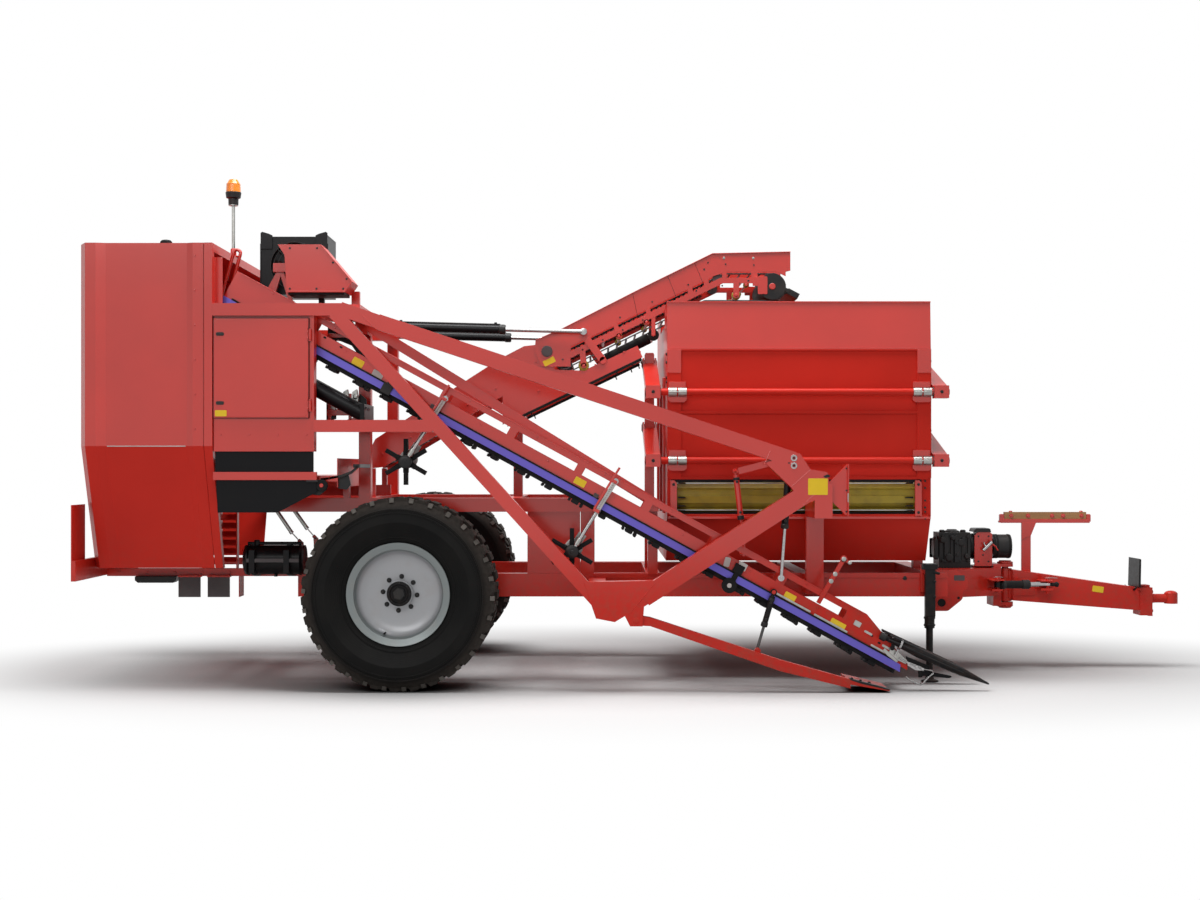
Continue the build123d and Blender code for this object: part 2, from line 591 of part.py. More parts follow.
def crop_lifters():
    """Pair of slender torpedoes that part the leaves."""
    pieces = []
    tail, tip = (1507, 382), (2252, 49)
    run = hypot(tip[0] - tail[0], tip[1] - tail[1])
    for y, wall in ((UNIT_Y[0] - 48, UNIT_Y[0]), (UNIT_Y[1] + 48, UNIT_Y[1])):
        profile = [(14, 0), (36, 0.35 * run), (30, 0.75 * run), (6, run)]           # radius, height
        rings = [Plane(origin=(0, 0, h)) * RegularPolygon(r, 10) for r, h in profile]
        cone = fuse(*[loft(pair, ruled=True) for pair in zip(rings, rings[1:])])
        aim = Plane(origin=(tail[0], y, tail[1]), z_dir=(tip[0] - tail[0], 0, tip[1] - tail[1]))
        pieces.append(fuse(aim.location * cone, cross(1590, 290, 12, sorted((y, wall))),
                           bar((1590, 285), (1600, 342), 26, (y - 6, y + 6))))
    return Compound(children=pieces)


# ---------------------------------------------------------------- cylinders
def barrel(p, q, y, r, share, eye_r, pin_r):
    """Cylinder barrel from its eye p towards q, both (x, z)."""
    run = hypot(q[0] - p[0], q[1] - p[1])
    ax, az = (q[0] - p[0]) / run, (q[1] - p[1]) / run
    end = run * share
    at = lambda d: (p[0] + ax * d, y, p[1] + az * d)
    body = rod(at(eye_r + 8), at(end), r)
    eye = fuse(cross(p[0], p[1], eye_r, (y - 12, y + 12)), rod(at(0), at(eye_r + 10), 11))
    bore = cross(p[0], p[1], pin_r + RUN, (y - 50, y + 50))
    hole = rod(at(eye_r + 25), at(end + 1), r * 0.5 + 0.5)
    return fuse(body, eye) - bore - hole


def piston_rod(p, q, y, r, start, eye_r):
    """Bright rod inside the barrel, with its open eye at q."""
    run = hypot(q[0] - p[0], q[1] - p[1])
    ax, az = (q[0] - p[0]) / run, (q[1] - p[1]) / run
    at = lambda d: (p[0] + ax * d, y, p[1] + az * d)
    return fuse(rod(at(start), at(run - eye_r * 0.5), r * 0.5), cross(q[0], q[1], eye_r, (y - 9, y + 9)))


def share_arm():
    """Channel-section beam with the lifting share at its tip."""
    y = (TRUSS_Y[0] + 17, TRUSS_Y[1] - 17)
    outline = [(SHARE_PIVOT[0], 530), (-78, 515), (810, 225), (1288, 92), (1288, 30), (810, 148),
               (-78, 455), (SHARE_PIVOT[0], 460)]
    beam = plate(outline, y)
    groove = plate([(-20, 470), (1230, 85), (1230, 0), (-20, 400)], (y[0] + 8, y[1] - 8))
    boss = cross(*SHARE_PIVOT, 35, y)
    blade = plate([(1270, 92), (1554, 24), (1554, 12), (1270, 60)], (y[0], UNIT_Y[1] - 60))
    lug = fuse(cross(*DEPTH_EYES[1], 20, (y[1] - 4, CYL_Y - 15)))
    return fuse(beam - groove, boss, blade, lug) - cross(*SHARE_PIVOT, SHARE_PIN_R + RUN, (NEAR, TRUSS_Y[1]))


# ---------------------------------------------------------------- elevator
def web_loop(points, radii, half, pitch, phase):
    """Rod web: two edge belts round a closed path of (x, z) points with rods across."""
    path = FilletPolyline(*[(x, -half, z) for x, z in points], radius=radii, close=True)
    outer = Face(Wire(path.edges()))
    inner = offset(outer, amount=-WEB_T)
    ring = outer - inner
    belts = [extrude(ring, amount=WEB_BELT, dir=(0, 1, 0)),
             Pos(0, 2 * half - WEB_BELT, 0) * extrude(ring, amount=WEB_BELT, dir=(0, 1, 0))]
    wire = Wire(path.edges())
    count = int(wire.length // pitch)
    rods = []
    for i in range(count):
        t = (i + phase) / count
        at = wire.position_at(t)
        bar_face = RegularPolygon(ROD_R * 1.3, 4)
        rods.append(Pos(at.X, 0, at.Z) * Rot(90, 0, 0) * extrude(bar_face, half - WEB_BELT, both=True))
    return fuse(*belts, *rods)


BASE_RUN = ((-2080, 1620), (-935, 2335))
HEAD_RUN = ((-690, 2339), (300, 2339 + 990 * CLIMB), DRUM)


def base_web():
    """Rod web of the fixed elevator."""
    (x0, z0), (x1, z1) = BASE_RUN
    run = hypot(x1 - x0, z1 - z0)
    ux, uz = (x1 - x0) / run, (z1 - z0) / run
    r = WEB_R
    corner = lambda x, z, a, b: (x + a * ux * r - b * uz * r, z + a * uz * r + b * ux * r)
    points = [corner(x0, z0, -1, -1), corner(x0, z0, -1, 1), corner(x1, z1, 1, 1), corner(x1, z1, 1, -1)]
    return web_loop(points, r - 2, ELEV_HALF - 40, WEB_PITCH, 0.5)


def head_web():
    """Rod web of the folding head, level over its last stretch."""
    r = WEB_R
    (x0, z0), (x1, z1), (x2, z2) = HEAD_RUN
    run = hypot(x1 - x0, z1 - z0)
    ux, uz = (x1 - x0) / run, (z1 - z0) / run
    corner = lambda x, z, a, b: (x + a * ux * r - b * uz * r, z + a * uz * r + b * ux * r)
    top = DRUM_R + 10
    climb, rise = uz / ux, r / ux
    kink_high = x0 + (z2 + top - z0 - rise) / climb
    kink_low = x0 + (z2 - top - z0 + rise) / climb
    points = [corner(x0, z0, -1, -1), corner(x0, z0, -1, 1), (kink_high, z2 + top),
              (x2 + top, z2 + top), (x2 + top, z2 - top), (kink_low, z2 - top)]
    return web_loop(points, [r - 2, r - 2, 60, top - 3, top - 3, 60], ELEV_HALF - 40, WEB_PITCH, 0.5)


def elevator_base():
    """Fixed trough: side plates, ears of the fold pivot, foot and support."""
    y = (-ELEV_HALF + ELEV_PLATE + SIDE, -ELEV_HALF + 2 * ELEV_PLATE + SIDE)
    lower = plate([(-2180, 1600), (-2130, 1530), (-2040, 1540), (-1150, 2070), (-1150, 1857), (-966, 1948),
                   (-101, 2363), (-139, 2449), (-545, 2262), (-760, 2270), (-770, 2440), (-860, 2460),
                   (-989, 2446), (-1165, 2354), (-2104, 1750)], y)
    side = lower
    pin = cross(*FOLD_PIVOT, FOLD_PIN_R, (-ELEV_HALF - 14, y[0] + 2))
    half = fuse(side, pin)
    ties = [cross(x, z, 16, (y[0] + 2, -y[0] - 2)) for x, z in ((-1120, 1910), (-130, 2400))]
    leg = block((-1083, -1014), (-45, 45), (1900, 1925))
    brace = block((-1110, -990), (y[1] - 2, -y[1] + 2), (1925, 1955))
    shafts = [cross(x, z, 18, (y[0] + 2, -y[0] - 2)) for x, z in BASE_RUN]
    return fuse(half, mirrored(half), *ties, brace, leg, *shafts)


def base_rollers():
    """Rollers at the two ends of the fixed web."""
    rollers = []
    for x, z in BASE_RUN:
        whole = cross(x, z, WEB_R - WEB_T - SEAT, (-300, 300)) - cross(x, z, 18 + RUN, (-310, 310))
        rollers.append(whole)
    return Compound(children=rollers)


def head_rail(x):
    """(x, z) on the centre line of the folding head's lower rail."""
    return x, min(RAIL_START[1] + (x - RAIL_START[0]) * CLIMB, RAIL_LEVEL)


def elevator_head():
    """Folding head: side bands, open lower rails with their posts, ties and the cylinder bosses."""
    y = (-ELEV_HALF, -ELEV_HALF + ELEV_PLATE)
    bend = RAIL_START[0] + (RAIL_LEVEL - RAIL_START[1]) / CLIMB
    band = plate([(-903, 2492), (-701, 2579), (-121, 2874), (421, 3140), (1005, 3153), (1005, 3010),
                  (970, 3001), (970, 2968), (900, 3001), (530, 3001), (430, 2968), (364, 2932),
                  (-640, 2440), (-640, 2292), (-860, 2292), (-908, 2411)], y)
    rail = [bar(head_rail(RAIL_START[0]), head_rail(bend), RAIL_H, y),
            bar((bend - 12, RAIL_LEVEL), (800, RAIL_LEVEL), RAIL_H - 4, y)]
    posts = [bar(head_rail(x), (x - lean, z), wide, y)
             for x, lean, z, wide in ((-290, 30, 2660, 34), (-50, 30, 2780, 34), (262, 20, 2930, 40),
                                      (376, 0, 3060, 36), (512, 0, 3070, 34), (734, 0, 3099, 46))]
    bracket = block((764, 829), y, (2836, 2962))
    arm = bar((800, DRUM[1]), DRUM, 52, y)
    hanger = fuse(bar((600, RAIL_LEVEL), (600, 2826), 44, y), cross(600, 2826, 24, y))
    side = fuse(band, *rail, *posts, bracket, arm, cross(*DRUM, 26, y), hanger)
    side -= cross(*FOLD_PIVOT, FOLD_PIN_R + RUN, (y[0] - 1, y[1] + 1))
    boss = cross(*FOLD_EYES[1], 26, (-ELEV_HALF - 30, y[1]))
    half = fuse(side, boss)
    ties = [cross(*head_rail(x), 14, (y[0] + 2, -y[0] - 2)) for x in (-400, 0, 640)]
    shafts = [cross(x, z, 18, (y[0] + 2, -y[0] - 2)) for x, z in (HEAD_RUN[0], DRUM)]
    return fuse(half, mirrored(half), *ties, *shafts)


def head_rollers():
    """Head drum and the tail roller of the folding web."""
    drum = cross(*DRUM, DRUM_R, (-300, 300)) - cross(*DRUM, 18 + RUN, (-310, 310))
    tail = cross(*HEAD_RUN[0], WEB_R - WEB_T - SEAT, (-300, 300)) - cross(*HEAD_RUN[0], 18 + RUN, (-310, 310))
    return Compound(children=[drum, tail])


def fold_cylinders(part):
    """Both barrels or both rods of the fold cylinders."""
    p, q = FOLD_EYES
    if part == "barrels":
        near = barrel(p, q, -FOLD_Y, 32, 0.60, 30, 15)
    else:
        near = piston_rod(p, q, -FOLD_Y, 32, 420, 24)
    return Compound(children=[near, mirrored(near)])


def fold_brackets():
    """Bracket arms and pins of the fold cylinders' barrels."""
    x, z = FOLD_EYES[0]
    near = [block((PORTAL_X[1], x + 18), (-FOLD_Y - 34, -FOLD_Y - 20), (z - 30, z + 30)),
            block((PORTAL_X[1], x + 18), (-FOLD_Y + 20, -FOLD_Y + 34), (z - 30, z + 30)),
            cross(x, z, 15, (-FOLD_Y - 34, -FOLD_Y + 34))]
    half = fuse(*near)
    return Compound(children=[half, mirrored(half)])


# ---------------------------------------------------------------- bunker
def hopper_shell():
    """Bunker walls, flared rim, ribs and the tubes that hang it on its arms."""
    x, y = HOPPER_X, HOPPER_Y
    lean, top = FLARE_LEAN, HOPPER_Z[1]
    outer = section([(y[0], WINDOW_Z[0]), (y[0] + 200, HOPPER_Z[0]), (y[1] - 200, HOPPER_Z[0]),
                     (y[1], WINDOW_Z[0]), (y[1], FLARE_Z), (y[1] - lean, top), (y[0] + lean, top),
                     (y[0], FLARE_Z)], x)
    inner = section([(y[0] + SHEET, WINDOW_Z[0]), (y[0] + 200 + SHEET, HOPPER_Z[0] + SHEET),
                     (y[1] - 200 - SHEET, HOPPER_Z[0] + SHEET), (y[1] - SHEET, WINDOW_Z[0]),
                     (y[1] - SHEET, FLARE_Z), (y[1] - lean - SHEET, top + 1),
                     (y[0] + lean + SHEET, top + 1), (y[0] + SHEET, FLARE_Z)],
                    (x[0] + SHEET, x[1] - SHEET))
    window = block((86, 1879), (y[0] - 1, y[0] + 30), (WINDOW_Z[0] + SILL, WINDOW_Z[1]))
    notch = block((x[0] - 1, x[0] + SHEET + 1), (-NOTCH_Y, NOTCH_Y), (NOTCH_Z, top + 1))
    pieces = [outer - inner - window - notch]
    for z in (FLARE_Z, 1931, 1461, 1191):
        pieces.append(block((x[0] + 20, x[1] - 20), (y[0] - RIB, y[0]), (z - 10, z + 10)))
    for px in (x[0], x[1] - CORNER):
        pieces.append(block((px, px + CORNER), (y[0] - RIB, y[0]), (1461, FLARE_Z)))
    for edge in (y[0] + lean - RIM_LIP, y[1] - lean):
        pieces.append(block(x, (edge, edge + RIM_LIP), (top - RIM_LIP, top)))
    tube_x = (ARM_X[0] - 8, ARM_X[1] + ARM_W + 8)
    for z in ARM_HUNG_Z.values():
        pieces.append(rod((tube_x[0], ARM_HUNG_Y, z), (tube_x[1], ARM_HUNG_Y, z), ARM_PIN_R))
        for px in (x[0] + 30, x[1] - 110):
            pieces.append(block((px, px + 80), (ARM_HUNG_Y, y[0]), (z - 20, z + 20)))
    return fuse(*pieces)


def hopper_floor():
    """Slatted floor belt that runs across the bunker, round its near roller."""
    z = (WINDOW_Z[0] + 20, WINDOW_Z[1] - 20)
    r = (z[1] - z[0]) / 2
    mid = sum(z) / 2
    x = (100, 1865)
    width = HOPPER_Y[1] - HOPPER_Y[0] - 50
    loop = SlotOverall(width, 2 * r) - SlotOverall(width - 24, 2 * r - 24)
    place = Plane(origin=(x[0], sum(HOPPER_Y) / 2, mid), x_dir=(0, 1, 0), z_dir=(1, 0, 0))
    straight = width - 2 * r
    count = int((2 * straight + 2 * pi * r) // SLAT_PITCH)
    slats = []
    for i in range(count):
        along = i * (2 * straight + 2 * pi * r) / count
        half, rest = divmod(along, straight + pi * r)
        turn = degrees(max(0, rest - straight) / r)
        slat = Pos(min(rest, straight) - straight / 2, 0, 0) * Rot(0, 0, -turn) * Pos(0, r + SLAT[1] / 2, 0)
        strip = Box(SLAT[0], SLAT[1] + 2, x[1] - x[0], align=(Align.CENTER, Align.CENTER, Align.MIN))
        slats.append(Rot(0, 0, -180 * half) * slat * strip)
    shafts = [rod((x[0] - 34, y, mid), (x[1] + 79, y, mid), 20)
              for y in (HOPPER_Y[0] + 25 + r, HOPPER_Y[1] - 25 - r)]
    drums = [rod((x[0] + 20, y, mid), (x[1] - 20, y, mid), r - 12 - SEAT)
             for y in (HOPPER_Y[0] + 25 + r, HOPPER_Y[1] - 25 - r)]
    carried = [fuse(shaft, drum) for shaft, drum in zip(shafts, drums)]
    belt = fuse(extrude(loop, x[1] - x[0]), *slats)
    return Compound(children=[place.location * belt, *carried])


def arms(level):
    """Pair of forked arms between the posts and one hinge tube."""
    z = ARM_HUNG_Z[level]
    p, q = (ARM_FIXED_Y, z + ARM_DROP), (ARM_HUNG_Y, z)
    run = hypot(q[0] - p[0], q[1] - p[1])
    ay, az = (q[0] - p[0]) / run, (q[1] - p[1]) / run

    def at(d, n):
        """(y, z) of a place d along the arm and n above its centre line."""
        return p[0] + ay * d + az * n, p[1] + az * d - ay * n

    pair = []
    for low in ARM_X:
        high = low + ARM_W
        parts = []
        for x in ((low, low + ARM_PLATE), (high - ARM_PLATE, high)):
            parts.append(section([at(0, 38), at(run, 38), at(run, -38), at(0, -38)], x))
            parts += [rod((x[0], *c), (x[1], *c), 45) for c in (p, q)]
        parts.append(section([at(150, 38), at(run - 20, 38), at(run - 20, 28), at(150, 28)], (low, high)))
        parts.append(block((low, high), (q[0] - 45, q[0] + 40), (q[1] - 45, q[1] + 45)))
        arm = fuse(*parts)
        for c in (p, q):
            arm -= rod((low - 1, *c), (high + 1, *c), ARM_PIN_R + RUN)
        pair.append(arm)
    return Compound(children=pair)


# ---------------------------------------------------------------- top gear
def cooler():
    """Oil cooler with its shroud and legs."""
    low, high = TOP_Z[1] + 114, HOOD_TOP + 116
    fan_x, near = sum(COOLER_X) / 2 + 0.5, COOLER_Y[0]
    leg_y = (near + 10, near + 50)
    case = block(COOLER_X, COOLER_Y, (low, high))
    bore = rod((fan_x, near - 1, high - 207), (fan_x, near + 40, high - 207), FAN_R)
    legs = [block((x, x + 40), leg_y, (TOP_Z[1], low)) for x in (COOLER_X[0] + 21, COOLER_X[1] - 66)]
    tie = block((COOLER_X[0] + 21, COOLER_X[1] - 26), (near - 20, leg_y[1]), TOP_Z)
    return fuse(case - bore, *legs, tie)


def top_housing():
    """Sheet housing over the lifting unit's drive, with its A-frame."""
    outline = [(-2644, 3076), (-2345, 3076), (-2128, 2820), (-2176, 2750), (-2583, 2750), (-2597, 3003)]
    case = plate(outline, (-1340, -1060))
    legs = [bar((-2680, 2940), (-2836, 2656), 32, (-1040, -1008)),
            bar((-2680, 2940), (-2768, 2656), 28, (-1040, -1008)),
            bar((-2680, 2940), (-2592, 2656), 28, (-1040, -1008))]
    apex = block((-2730, -2627), (-1060, -1000), (2919, 2981))
    foot = block((-2176, -2120), (-1060, -1010), (2656, 2780))
    tie = block((-2627, -2560), (-1060, -1000), (2919, 2960))
    rail = block((-2900, -2000), (-1100, -900), (2500, TOP_Z[1]))
    return fuse(case, *legs, apex, foot, tie) - rail


def beacon_post():
    """Beacon's post."""
    pole = rod((-3088, -700, HOOD_TOP), (-3088, -700, 3440), 12)
    cup = rod((-3088, -700, 3440), (-3088, -700, 3534), 34)
    return fuse(pole, cup)


def beacon_lens():
    """Amber dome."""
    x, y, z = -3088, -700, 3534
    dome = [(0, 0), (54, 0), (50, 62), (30, 96), (0, 104)]          # radius, height
    face = Face(Wire.make_polygon([(r, 0, h) for r, h in dome]))
    return Pos(x, y, z) * revolve(face, Axis.Z, 360)


def oil_tank():
    """Oil tank on the near main beam."""
    return block((-944, -564), (-BEAM_Y[1] + 5, -BEAM_Y[0] - 10), (BEAM_Z[1], UPPER_Z[0] - 1))


def valve_case():
    """Round case behind the wheel, with its two straps on the near low beam."""
    y, z = -(CARRIER_Y[1] + CASE_R + 10), CARRIER_Z[1] + 70
    drum = rod((CASE_X[0], y, z), (CASE_X[1], y, z), CASE_R)
    pieces = [drum]
    for x in (CASE_X[0] + 50, CASE_X[1] - 125):
        pieces.append(rod((x, y, z), (x + 36, y, z), CASE_R + 7))
        pieces.append(block((x, x + 36), (y + 40, -CARRIER_Y[1]), (CARRIER_Z[0] + 5, CARRIER_Z[1] - 5)))
    return fuse(*pieces)


# ---------------------------------------------------------------- front
def pump_drive():
    """Gearbox with its pump, input guard and pedestal."""
    case = block((2165, 2406), (-110, 110), (BEAM_Z[1], 1040))
    flange = rod((2406, 0, INPUT_Z), (2472, 0, INPUT_Z), 92)
    bracket = block((2472, 2490), (-100, 100), (800, 1040))
    neck = rod((2490, 0, INPUT_Z), (2595, 0, INPUT_Z), 60)
    guard = rod((2590, 0, INPUT_Z), (2730, 0, INPUT_Z), 91) - rod((2600, 0, INPUT_Z), (2731, 0, INPUT_Z), 86)
    return fuse(case, flange, bracket, neck, guard)


def input_shaft():
    """Input stub inside its guard."""
    return rod((2600, 0, INPUT_Z), (2695, 0, INPUT_Z), STUB_R)


def drawbar():
    """Tapered drawbar with its root barrel, steering lug and hose-rest post."""
    half = 80
    beam = plate([(2735, 755), (DRAWBAR_END, 616), (DRAWBAR_END, 444), (2735, 520)], (-half, half))
    root = rod((HITCH_PIN_X, 0, ROOT_Z[0]), (HITCH_PIN_X, 0, ROOT_Z[1]), 50)
    neck = block((HITCH_PIN_X, 2740), (-45, 45), (530, 745))
    face = block((DRAWBAR_END, DRAWBAR_END + END_PLATE), (-90, 90), (406, 619))
    lug = block((2915, 3010), (-225, -half), (605, 622))
    steer_pin = rod((2970, -200, 622), (2970, -200, 630), 12)
    post = block((2838, 2909), (60, 78), (700, 1125))
    cap = block((2665, 3364), (60, 100), (1110, 1125))
    plate_back = block((DRAWBAR_END - 18, DRAWBAR_END - 12), (-130, 130), (600, 832))
    hole = rod((HITCH_PIN_X, 0, 400), (HITCH_PIN_X, 0, 900), HITCH_PIN_R + RUN)
    return fuse(beam, root, neck, face, lug, steer_pin, post, cap, plate_back) - hole


def hose_plank():
    """Plank that the hoses rest on."""
    return block((2705, 3338), (62, 95), (1125.2, 1192))


def coupling():
    """Neck and ball socket of the tow coupling."""
    x = DRAWBAR_END + END_PLATE
    ball_x, low = COUPLING_NOSE - 50, 491
    neck = rod((x, 0, low + 40), (ball_x - 41, 0, low + 40), 34)
    cup = Solid.make_cylinder(50, 80, Plane(origin=(ball_x, 0, low)))
    socket = Solid.make_cylinder(40, 30, Plane(origin=(ball_x, 0, low - 1)))
    crown = Solid.make_cone(40, 16, 18, Plane(origin=(ball_x, 0, low + 29)))
    return fuse(neck, cup) - socket - crown


def steer_cylinder(part):
    """Barrel or rod of the steering cylinder, in plan."""
    p, q, z = (2580, -250), (2970, -200), 652
    run = hypot(q[0] - p[0], q[1] - p[1])
    ux, uy = (q[0] - p[0]) / run, (q[1] - p[1]) / run
    at = lambda d: (p[0] + ux * d, p[1] + uy * d, z)
    if part == "barrel":
        eye = rod((*p, z - 20), (*p, z + 20), 26)
        body = fuse(rod(at(20), at(250), 30), eye)
        return body - rod((*p, z - 60), (*p, z + 60), 12 + RUN) - rod(at(60), at(251), 18.5)
    return fuse(rod(at(155), at(run - 12), 18), rod((*q, z - 8), (*q, z + 8), 22))


def jack_tube():
    """Outer tube of the parking jack."""
    z = (385, 844)
    return (rod((JACK_X, JACK_Y, z[0]), (JACK_X, JACK_Y, z[1]), JACK_TUBE_R)
            - rod((JACK_X, JACK_Y, z[0] - 1), (JACK_X, JACK_Y, z[1] - 12), JACK_LEG_R + JACK_GAP))


def jack_leg():
    """Inner leg with its foot on the ground."""
    return fuse(rod((JACK_X, JACK_Y, 10), (JACK_X, JACK_Y, 470), JACK_LEG_R),
                rod((JACK_X, JACK_Y, 0), (JACK_X, JACK_Y, 12), 62))


def strut_piece(part):
    """Tube or rod of the suspension strut."""
    if part == "tube":
        return barrel(*STRUT_EYES, STRUT_Y, 20, 0.62, 20, 10)
    return piston_rod(*STRUT_EYES, STRUT_Y, 20, 250, 16)


NODES = {
    "main_frame": main_frame,
    "upper_frame": upper_frame,
    "hopper_posts": hopper_posts,
    "axle": axle,
    "side_truss": side_truss,
    "rear_hood": rear_hood,
    "rear_carrier": rear_carrier,
    "cabinet": cabinet,
    "cabinet_door": cabinet_door,
    "side_curtains": side_curtains,
    "curtain_rail": curtain_rail,
    "topper": topper,
    "cross_conveyor": cross_conveyor,
    "tyre_right": lambda: tyre(-1),
    "rim_right": lambda: rim(-1),
    "tyre_left": lambda: tyre(1),
    "rim_left": lambda: rim(1),
    "lifter_frame": lifter_frame,
    "lifter_belts": lifter_belts,
    "lifter_guards": lifter_guards,
    "star_hangers": star_hangers,
    "star_upper": lambda: star_rotor("upper"),
    "star_lower": lambda: star_rotor("lower"),
    "crop_lifters": crop_lifters,
    "lift_barrel": lambda: barrel(*LIFT_EYES, CYL_Y, 24, 0.56, 26, 15),
    "lift_rod": lambda: piston_rod(*LIFT_EYES, CYL_Y, 24, 355, 22),
    "strut_tube": lambda: strut_piece("tube"),
    "strut_rod": lambda: strut_piece("rod"),
    "share_arm": share_arm,
    "depth_barrel": lambda: barrel(*DEPTH_EYES, CYL_Y, 20, 0.6, 22, 14),
    "depth_rod": lambda: piston_rod(*DEPTH_EYES, CYL_Y, 20, 110, 18),
    "elevator_base": elevator_base,
    "base_web": base_web,
    "base_rollers": base_rollers,
    "elevator_head": elevator_head,
    "head_web": head_web,
    "head_rollers": head_rollers,
    "fold_brackets": fold_brackets,
    "fold_barrels": lambda: fold_cylinders("barrels"),
    "fold_rods": lambda: fold_cylinders("rods"),
    "hopper_shell": hopper_shell,
    "hopper_floor": hopper_floor,
    "arms_upper": lambda: arms("upper"),
    "arms_lower": lambda: arms("lower"),
    "cooler": cooler,
    "top_housing": top_housing,
    "beacon_post": beacon_post,
    "beacon_lens": beacon_lens,
    "oil_tank": oil_tank,
    "valve_case": valve_case,
    "pump_drive": pump_drive,
    "input_shaft": input_shaft,
    "drawbar": drawbar,
    "hose_plank": hose_plank,
    "coupling": coupling,
    "steer_barrel": lambda: steer_cylinder("barrel"),
    "steer_rod": lambda: steer_cylinder("rod"),
    "jack_tube": jack_tube,
    "jack_leg": jack_leg,
}

os.makedirs("parts", exist_ok=True)
for name, make in NODES.items():
    export_step(make(), f"parts/{name}.step")
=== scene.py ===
"""Trailed root harvester: finishes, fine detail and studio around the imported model."""
from __future__ import annotations

import json
import logging
import math
from dataclasses import dataclass, field
from enum import Enum
from typing import Callable, NamedTuple, Sequence

import bmesh
import bpy
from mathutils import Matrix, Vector

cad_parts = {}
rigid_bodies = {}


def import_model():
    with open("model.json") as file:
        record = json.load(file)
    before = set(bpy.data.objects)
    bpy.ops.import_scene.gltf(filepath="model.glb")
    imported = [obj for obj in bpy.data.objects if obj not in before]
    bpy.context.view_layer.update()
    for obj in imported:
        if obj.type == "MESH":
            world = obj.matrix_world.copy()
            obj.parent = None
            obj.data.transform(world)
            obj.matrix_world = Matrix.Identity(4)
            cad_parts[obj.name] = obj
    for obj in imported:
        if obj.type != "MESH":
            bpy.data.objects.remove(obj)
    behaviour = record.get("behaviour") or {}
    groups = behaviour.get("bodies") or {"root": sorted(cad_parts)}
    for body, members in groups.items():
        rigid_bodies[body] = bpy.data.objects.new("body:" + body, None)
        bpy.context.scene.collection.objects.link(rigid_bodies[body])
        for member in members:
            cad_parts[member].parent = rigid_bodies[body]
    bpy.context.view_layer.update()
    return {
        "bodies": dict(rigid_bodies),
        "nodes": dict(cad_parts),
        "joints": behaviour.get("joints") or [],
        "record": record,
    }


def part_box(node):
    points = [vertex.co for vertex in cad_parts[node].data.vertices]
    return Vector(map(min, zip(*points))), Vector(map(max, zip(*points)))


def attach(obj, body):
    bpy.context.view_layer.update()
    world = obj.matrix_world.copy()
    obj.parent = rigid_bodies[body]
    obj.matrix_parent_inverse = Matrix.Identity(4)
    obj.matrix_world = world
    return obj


log = logging.getLogger("harvester")
Point = tuple[float, float, float]
Flat = tuple[float, float]
Place = Point | Vector
Colour = tuple[float, float, float]

# Places that several assemblies share, in metres.
AXLE: Flat = (-1.803, 0.666)
TRUSS_FACE = -1.5
BEAM_FACE = -0.8
UNIT_SIDES: Flat = (-1.33, -1.07)
UNIT_ANGLE = 28.6
ELEVATOR_SIDE = 0.35
STEER_ROOT: Flat = (2.58, -0.25)
STEER_EYE: Flat = (2.97, -0.2)

SOIL: Colour = (0.16, 0.085, 0.055)
BEVEL_FROM = math.radians(40)
SHARP_FROM = math.radians(35)


class Axis(Enum):
    """Direction that an outline is drawn out along."""

    X = "x"
    Y = "y"
    Z = "z"


class Side(Enum):
    """Side of the machine, as the sign of Y."""

    RIGHT = -1
    LEFT = 1

    @property
    def word(self) -> str:
        """The side's name in node names."""
        return self.name.lower()


# ------------------------------------------------------------------ shading
class Socket:
    """A shader output that takes part in Python expressions."""

    def __init__(self, shader: "Shader", output: bpy.types.NodeSocket) -> None:
        """Wraps an output.

        Args:
            shader: the material under construction.
            output: the node output that this stands for.
        """
        self.shader = shader
        self.output = output

    def _math(self, operation: str, *values: "Socket | float") -> "Socket":
        """Adds a Math node.

        Args:
            operation: the Math node's operation.
            values: its inputs in order.

        Returns:
            The result.
        """
        return self.shader.node("ShaderNodeMath", {"operation": operation}, dict(enumerate(values)))

    def __add__(self, other: "Socket | float") -> "Socket":
        """Sum."""
        return self._math("ADD", self, other)

    def __radd__(self, other: float) -> "Socket":
        """Sum with a number on the left."""
        return self._math("ADD", other, self)

    def __sub__(self, other: "Socket | float") -> "Socket":
        """Difference."""
        return self._math("SUBTRACT", self, other)

    def __rsub__(self, other: float) -> "Socket":
        """Difference from a number on the left."""
        return self._math("SUBTRACT", other, self)

    def __mul__(self, other: "Socket | float") -> "Socket":
        """Product."""
        return self._math("MULTIPLY", self, other)

    def __rmul__(self, other: float) -> "Socket":
        """Product with a number on the left."""
        return self._math("MULTIPLY", other, self)

    def __truediv__(self, other: "Socket | float") -> "Socket":
        """Quotient."""
        return self._math("DIVIDE", self, other)

    def __pow__(self, other: "Socket | float") -> "Socket":
        """Power."""
        return self._math("POWER", self, other)

    def above(self, edge: float, soft: float) -> "Socket":
        """Mask that rises from 0 to 1 round an edge.

        Args:
            edge: the value at the middle of the rise.
            soft: half the width of the rise.

        Returns:
            The mask.
        """
        return self.shader.node(
            "ShaderNodeMapRange",
            {"interpolation_type": "SMOOTHSTEP"},
            {"Value": self, "From Min": edge - soft, "From Max": edge + soft},
        )

    def below(self, edge: float, soft: float) -> "Socket":
        """Mask that falls from 1 to 0 round an edge."""
        return 1.0 - self.above(edge, soft)

    def absolute(self) -> "Socket":
        """Magnitude."""
        return self._math("ABSOLUTE", self)

    def sine(self) -> "Socket":
        """Sine of an angle in radians."""
        return self._math("SINE", self)


